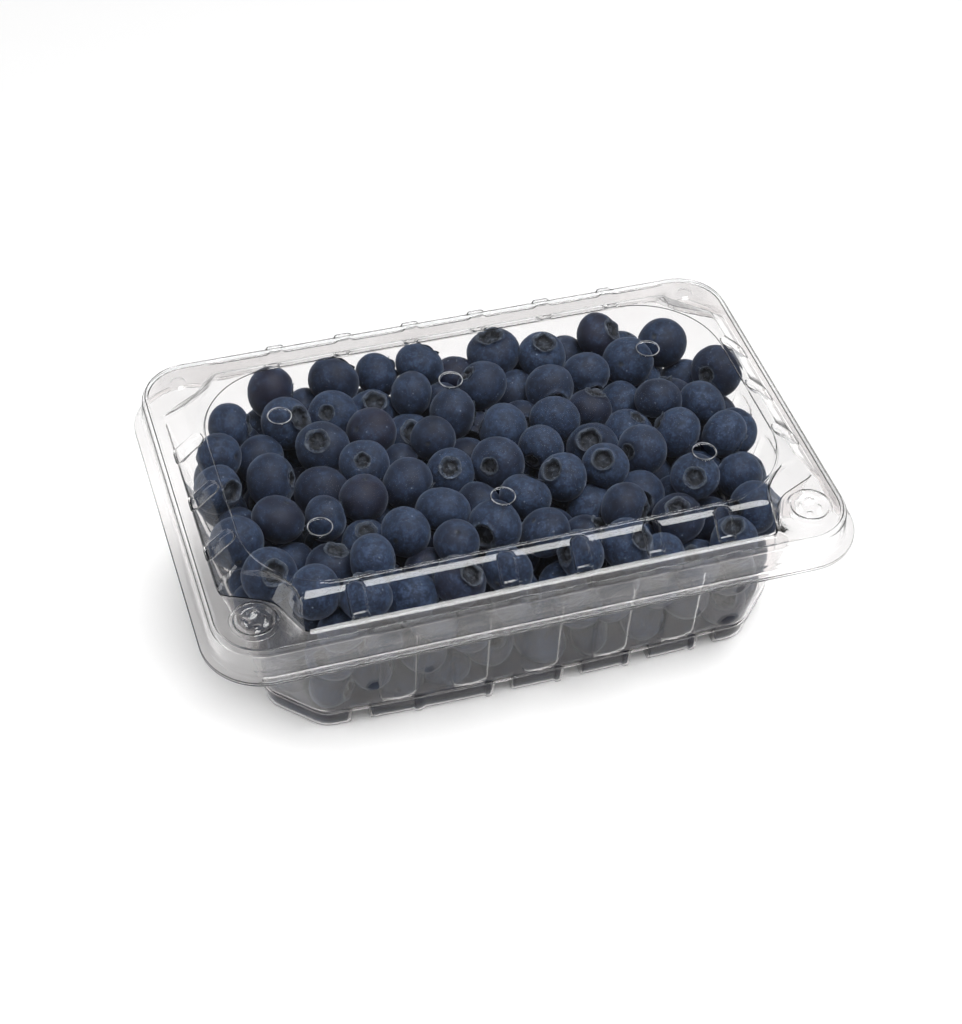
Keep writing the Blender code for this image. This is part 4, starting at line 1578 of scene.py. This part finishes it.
@dataclass
class Heap:
    """The loose berries: settled against each other and the sheet, then joined into one piece for each kind.

    Attributes:
        room: Where they lie.
        count: How many berries.
        radius: The smallest and largest radius.
        lean: How much lower the heap lies to the rear.
        seed: Starts the random numbers.
        forms: The shape of each kind.
    """

    room: Room = field(default_factory=Room)
    count: int = 325
    radius: tuple[float, float] = (0.0060, 0.0079)
    lean: float = -0.03
    seed: int = 11
    forms: tuple[BerryForm, ...] = (
        BerryForm(Crown.OPEN, 0.40, 0.100, 0.060, 0.14),
        BerryForm(Crown.STAR, 0.34, 0.070, 0.120, 0.10),
        BerryForm(Crown.WORN, 0.29, 0.050, 0.025, 0.10),
    )

    def settle(self) -> tuple[np.ndarray, np.ndarray]:
        """Lets the berries fall and push each other apart until they lie still.

        Returns:
            Their centres and their radii.
        """
        chance = np.random.default_rng(self.seed)
        low, high = self.radius
        sizes = low + (high - low) * chance.beta(2.2, 2.0, self.count)
        centres = chance.uniform((-0.066, -0.034, 0.012), (0.068, 0.034, 0.050), (self.count, 3))
        directions, limits = self.room.bounds()
        pull = np.array((0.0, -self.lean, -1.0))
        rounds = 420
        for i in range(rounds):
            fall = 0.00045 if i < 0.7 * rounds else 0.0
            centres += pull * fall
            for _ in range(3):
                self._part(centres, sizes)
                self._keep_in(centres, sizes, directions, limits)
                self._lift_off_channels(centres, sizes)
        return centres, sizes

    @staticmethod
    def _part(centres: np.ndarray, sizes: np.ndarray) -> None:
        """Moves berries that overlap apart, half each."""
        gap = centres[:, None, :] - centres[None, :, :]
        away = np.linalg.norm(gap, axis=2) + np.eye(len(sizes))
        reach = (sizes[:, None] + sizes[None, :]) * 0.95
        over = np.clip(reach - away, 0.0, None)
        np.fill_diagonal(over, 0.0)
        centres += np.sum(gap / away[:, :, None] * over[:, :, None] * 0.36, axis=1)

    def _lift_off_channels(self, centres: np.ndarray, sizes: np.ndarray) -> None:
        """Moves berries that reach into the channels under the tub off their roofs and sides."""
        tub = self.room.tub
        for place in tub.channels:
            middle = place * tub.rim.pitch + tub.shift
            half, roof = tub.channel + tub.wall, tub.channel_z + tub.wall
            away = np.stack([centres[:, 0] - middle, centres[:, 2]], axis=1)
            nearest = np.stack([np.clip(away[:, 0], -half, half), np.minimum(away[:, 1], roof)], axis=1)
            gap = away - nearest
            length = np.maximum(np.linalg.norm(gap, axis=1), 1e-6)
            over = np.clip(sizes * 1.02 - length, 0.0, None) / length
            centres[:, 0] += gap[:, 0] * over
            centres[:, 2] += gap[:, 1] * over

    @staticmethod
    def _keep_in(centres: np.ndarray, sizes: np.ndarray, directions: np.ndarray, limits: np.ndarray) -> None:
        """Moves berries that reach through a bound back inside."""
        for direction, limit in zip(directions, limits):
            over = np.clip(centres @ direction + sizes * 1.05 - limit, 0.0, None)
            centres -= over[:, None] * direction

    def build(self, material: bpy.types.Material) -> list[bpy.types.Object]:
        """Builds the berries, one piece for each kind of crown.

        Args:
            material: Their finish.

        Returns:
            The pieces.
        """
        centres, sizes = self.settle()
        LOG.info("heap: %d berries, highest %.4f", len(sizes), float(np.max(centres[:, 2] + sizes)))
        LOG.info("heap: fruit volume %.1f cubic cm", float(np.sum(4 / 3 * math.pi * sizes**3) * 0.86 * 1e6))
        shown = np.flatnonzero(self._in_sight(centres, sizes))
        LOG.info("heap: %d berries in sight", len(shown))
        pieces = []
        for number, form in enumerate(self.forms):
            chosen = shown[number :: len(self.forms)]
            pieces.append(self._piece(form, chosen, centres, sizes, material))
        return pieces

    def _in_sight(self, centres: np.ndarray, sizes: np.ndarray) -> np.ndarray:
        """Tells the outer berries from those that the core stands for.

        Args:
            centres: All centres.
            sizes: All radii.

        Returns:
            True for each berry that lies near the sheet or near the top of the heap.
        """
        directions, limits = self.room.bounds()
        sides = np.abs(directions[:, 2]) < 0.5
        room = np.min(limits[sides] - centres @ directions[sides].T, axis=1)
        gap = centres[:, None, :2] - centres[None, :, :2]
        near = np.linalg.norm(gap, axis=2) < 0.013
        crest = np.max(np.where(near, (centres[:, 2] + sizes)[None, :], 0.0), axis=1)
        deep = (crest - centres[:, 2] > 0.021) & (room > 0.019) & (centres[:, 2] > 0.013)
        return ~deep

    def _piece(
        self,
        form: BerryForm,
        chosen: np.ndarray,
        centres: np.ndarray,
        sizes: np.ndarray,
        material: bpy.types.Material,
    ) -> bpy.types.Object:
        """Joins the berries of one kind.

        Args:
            form: Their shape.
            chosen: Which berries are of this kind.
            centres: All centres.
            sizes: All radii.
            material: Their finish.

        Returns:
            The piece.
        """
        places, shares, faces = form.template()
        template = bpy.data.meshes.new("template")
        template.from_pydata(places.tolist(), [], faces)
        shape = bmesh.new()
        layers = {name: shape.verts.layers.float.new(name) for name in ("tone", "crown", "rim")}
        for berry in chosen:
            chance = np.random.default_rng(self.seed * 1000 + int(berry))
            start = len(shape.verts)
            shape.from_mesh(template)
            shape.verts.ensure_lookup_table()
            tone = float(chance.random())
            for i, point in enumerate(shape.verts[start:]):
                point[layers["tone"]] = tone
                point[layers["crown"]] = shares[i][0]
                point[layers["rim"]] = shares[i][1]
            self._uneven(shape.verts[start:], shares[:, 0], chance)
            turn = self._facing(chance)
            stretch = 1.0 + chance.uniform(-0.035, 0.035, 3)
            size = Matrix.Diagonal((*(stretch * sizes[berry] * 1.02), 1.0))
            bmesh.ops.transform(
                shape, matrix=Matrix.Translation(centres[berry]) @ turn @ size, verts=shape.verts[start:]
            )
        bpy.data.meshes.remove(template)
        piece = finished_piece(form.crown.value, shape, material, "base")
        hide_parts("berries")
        return piece

    @staticmethod
    def _uneven(points: list[bmesh.types.BMVert], crown: np.ndarray, chance: np.random.Generator) -> None:
        """Gives a berry its own slight lumps and flats, and its crown a ragged edge.

        Args:
            points: The berry's points.
            crown: How much each belongs to the crown.
            chance: The berry's own random numbers.
        """
        offset = Vector(chance.uniform(-50.0, 50.0, 3))
        for point, share in zip(points, crown.tolist()):
            place = point.co.copy()
            lump = 0.040 * noise.noise(place * 1.1 + offset) + 0.010 * noise.noise(place * 3.0 + offset)
            if share > 0.05 and place.z > 0.0:
                point.co = place * (1.0 + lump) + 0.090 * share * noise.noise_vector(place * 9.0 + offset)
            else:
                point.co = place * (1.0 + lump)

    @staticmethod
    def _facing(chance: np.random.Generator) -> Matrix:
        """A random way for a berry's crown to point, more often up or to the front than away."""
        way = Vector(chance.normal(0.0, 1.0, 3))
        way += Vector((0.0, -0.25, 0.35))
        spin = Matrix.Rotation(chance.uniform(0.0, 2 * math.pi), 4, "Z")
        return way.to_track_quat("Z", "Y").to_matrix().to_4x4() @ spin


@dataclass(frozen=True)
class Core:
    """The dark middle of the heap, which stands for the berries that no one sees, and a dark solid in the feet that
    paints the shade under the tub.

    Attributes:
        low: The block's lowest corner.
        high: Its highest corner.
        room: Where the fruit lies.
        gap: Clearance from the sheet of the dark solid in the feet, which is painted shade under the tub and also
            stands for the lowest fruit.
        top: Height of that solid.
    """

    low: tuple[float, float, float] = (-0.060, -0.031, 0.014)
    high: tuple[float, float, float] = (0.064, 0.030, 0.036)
    room: Room = field(default_factory=Room)
    gap: float = 0.00025
    top: float = 0.0084

    def build(self, material: bpy.types.Material) -> bpy.types.Object:
        """Builds the core as a lumpy rounded block over a dark solid that fills the feet, painted shade under the tub
        that also stands for the lowest fruit.

        Args:
            material: Its finish.

        Returns:
            The piece.
        """
        shape = bmesh.new()
        # the solid in the feet is painted shade under the tub, in the berries' dark finish, and also stands for the
        # lowest fruit
        self.room.tub.shade_lining(shape, self.gap, self.top)
        self._block(shape)
        turned_outwards(shape)
        piece = finished_piece("fruit_core", shape, material, "base")
        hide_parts("berries")
        return piece

    def _block(self, joined: bmesh.types.BMesh) -> None:
        """Adds the lumpy rounded block in the middle of the heap."""
        shape = bmesh.new()
        bmesh.ops.create_cube(shape, size=1.0)
        bmesh.ops.subdivide_edges(shape, edges=shape.edges, cuts=9, use_grid_fill=True)
        for _ in range(3):
            bmesh.ops.smooth_vert(shape, verts=shape.verts, factor=0.5, use_axis_x=True, use_axis_y=True, use_axis_z=True)
        size = [b - a for a, b in zip(self.low, self.high)]
        middle = [(a + b) / 2 for a, b in zip(self.low, self.high)]
        bmesh.ops.transform(
            shape, matrix=Matrix.Translation(middle) @ Matrix.Diagonal((*size, 1.0)), verts=shape.verts
        )
        for point in shape.verts:
            point.co += point.normal * 0.0015 * noise.noise(point.co * 110.0)
        mesh = bpy.data.meshes.new("block")
        shape.to_mesh(mesh)
        shape.free()
        joined.from_mesh(mesh)
        bpy.data.meshes.remove(mesh)


# ---------------------------------------------------------------------------------------------------------------
# The studio
# ---------------------------------------------------------------------------------------------------------------


@dataclass(frozen=True)
class Lamp:
    """One soft area light.

    Attributes:
        name: Its name.
        at: Its place.
        aim: The place that it shines on.
        size: Its width and height.
        power: Its power in watts.
        colour: Its colour.
    """

    name: str
    at: tuple[float, float, float]
    aim: tuple[float, float, float]
    size: tuple[float, float]
    power: float
    colour: tuple[float, float, float] = (1.0, 1.0, 1.0)

    def build(self) -> None:
        """Adds the light."""
        data = bpy.data.lights.new(self.name, "AREA")
        data.shape = "RECTANGLE"
        data.size, data.size_y = self.size
        data.energy = self.power
        data.color = self.colour
        lamp = bpy.data.objects.new(self.name, data)
        lamp.location = self.at
        way = Vector(self.aim) - Vector(self.at)
        lamp.rotation_euler = way.to_track_quat("-Z", "Y").to_euler()
        bpy.context.scene.collection.objects.link(lamp)


@dataclass(frozen=True)
class Studio:
    """The pale floor, the soft lights, the air round them and the camera.

    Attributes:
        azimuth: The camera's way round the punnet, in degrees.
        elevation: Its height above the horizon, in degrees.
        roll: How far it is turned about its own line of sight, in degrees.
        distance: Its distance from the aim.
        aim: The place that it looks at.
        lens: Its focal length in millimetres, on a 36 mm sensor.
        air: Brightness of the surroundings, near the horizon and above.
        lamps: The lights.
    """

    azimuth: float = -19.99
    elevation: float = 45.58
    roll: float = 3.34
    distance: float = 0.59818
    aim: tuple[float, float, float] = (-0.00678, -0.01394, 0.0420)
    lens: float = 76.19
    air: tuple[float, float] = (1.00, 0.05)
    lamps: tuple[Lamp, ...] = (
        Lamp("overhead", (0.22, -0.06, 1.10), (0.0, 0.0, 0.03), (0.80, 0.62), 13.0),
        Lamp("left_fill", (-0.95, 0.10, 0.55), (0.0, 0.0, 0.03), (0.60, 0.60), 3.0),
    )

    def build(self) -> None:
        """Builds the floor, the lights and the camera."""
        self._floor()
        for lamp in self.lamps:
            lamp.build()
        world = bpy.data.worlds.new("air")
        world.use_nodes = True
        graph = Graph(world.node_tree)
        height = graph.add("SeparateXYZ", {0: graph.add("TexCoord").outputs["Generated"]}).outputs["Z"]
        low, high = ((value,) * 3 for value in self.air)
        sky = graph.mix(graph.share(height, 0.05, 0.32), low, high)
        graph.tree.links.new(sky, world.node_tree.nodes["Background"].inputs["Color"])
        scene = bpy.context.scene
        scene.world = world
        scene.view_settings.view_transform = "Standard"
        scene.cycles.transparent_max_bounces = 24
        scene.cycles.transmission_bounces = 14
        scene.cycles.max_bounces = 16
        self._camera()

    @staticmethod
    def _floor() -> None:
        """Lays the floor that the punnet stands on."""
        shape = bmesh.new()
        bmesh.ops.create_grid(shape, x_segments=8, y_segments=8, size=3.0)
        mesh = bpy.data.meshes.new("floor")
        shape.to_mesh(mesh)
        shape.free()
        mesh.materials.append(Tabletop().material())
        floor = bpy.data.objects.new("floor", mesh)
        floor.location = (0.0, 0.0, -0.0002)
        bpy.context.scene.collection.objects.link(floor)

    def _camera(self) -> None:
        """Places the camera."""
        a, e, r = (math.radians(v) for v in (self.azimuth, self.elevation, self.roll))
        back = Vector((math.sin(a) * math.cos(e), -math.cos(a) * math.cos(e), math.sin(e)))
        right = (-back).cross(Vector((0.0, 0.0, 1.0))).normalized()
        up = right.cross(-back)
        level = Matrix((right, up, back)).transposed()
        turn = level @ Matrix.Rotation(r, 3, "Z")
        data = bpy.data.cameras.new("camera")
        data.sensor_width = 36.0
        data.lens = self.lens
        data.clip_start = 0.01
        camera = bpy.data.objects.new("camera", data)
        camera.matrix_world = Matrix.LocRotScale(Vector(self.aim) + back * self.distance, turn, None)
        bpy.context.scene.collection.objects.link(camera)
        bpy.context.scene.camera = camera


def main() -> None:
    """Builds the punnet on its frame, piece by piece, and then the studio."""
    logging.basicConfig(level=logging.INFO, format="%(name)s %(message)s", force=True)
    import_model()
    lid_sheet = ClearSheet("lid_sheet", (0.985, 0.988, 0.99), (0.965, 0.968, 0.97), (0.012, 0.040), 0.00002, 45.0, 1.40)
    tub_sheet = ClearSheet("tub_sheet", (0.972, 0.957, 0.953), (0.945, 0.925, 0.92), (0.018, 0.070), 0.00004, 60.0, 1.31)
    skin = BerrySkin("berry_skin").material()
    tub_material = tub_sheet.material()
    pieces = [Tub().build(tub_material), Lid().build(lid_sheet.material()), HingeFold().build(tub_material)]
    # the vent rims' pale cut edge is also a painted highlight along each vent's rim
    pieces.append(Lid().vent_rims(CutEdgeGlint("cut_edge_glint").material()))
    pieces += [Core().build(skin), *Heap().build(skin)]
    for piece in pieces:
        report(piece)
    Studio().build()


if __name__ == "__main__":
    main()
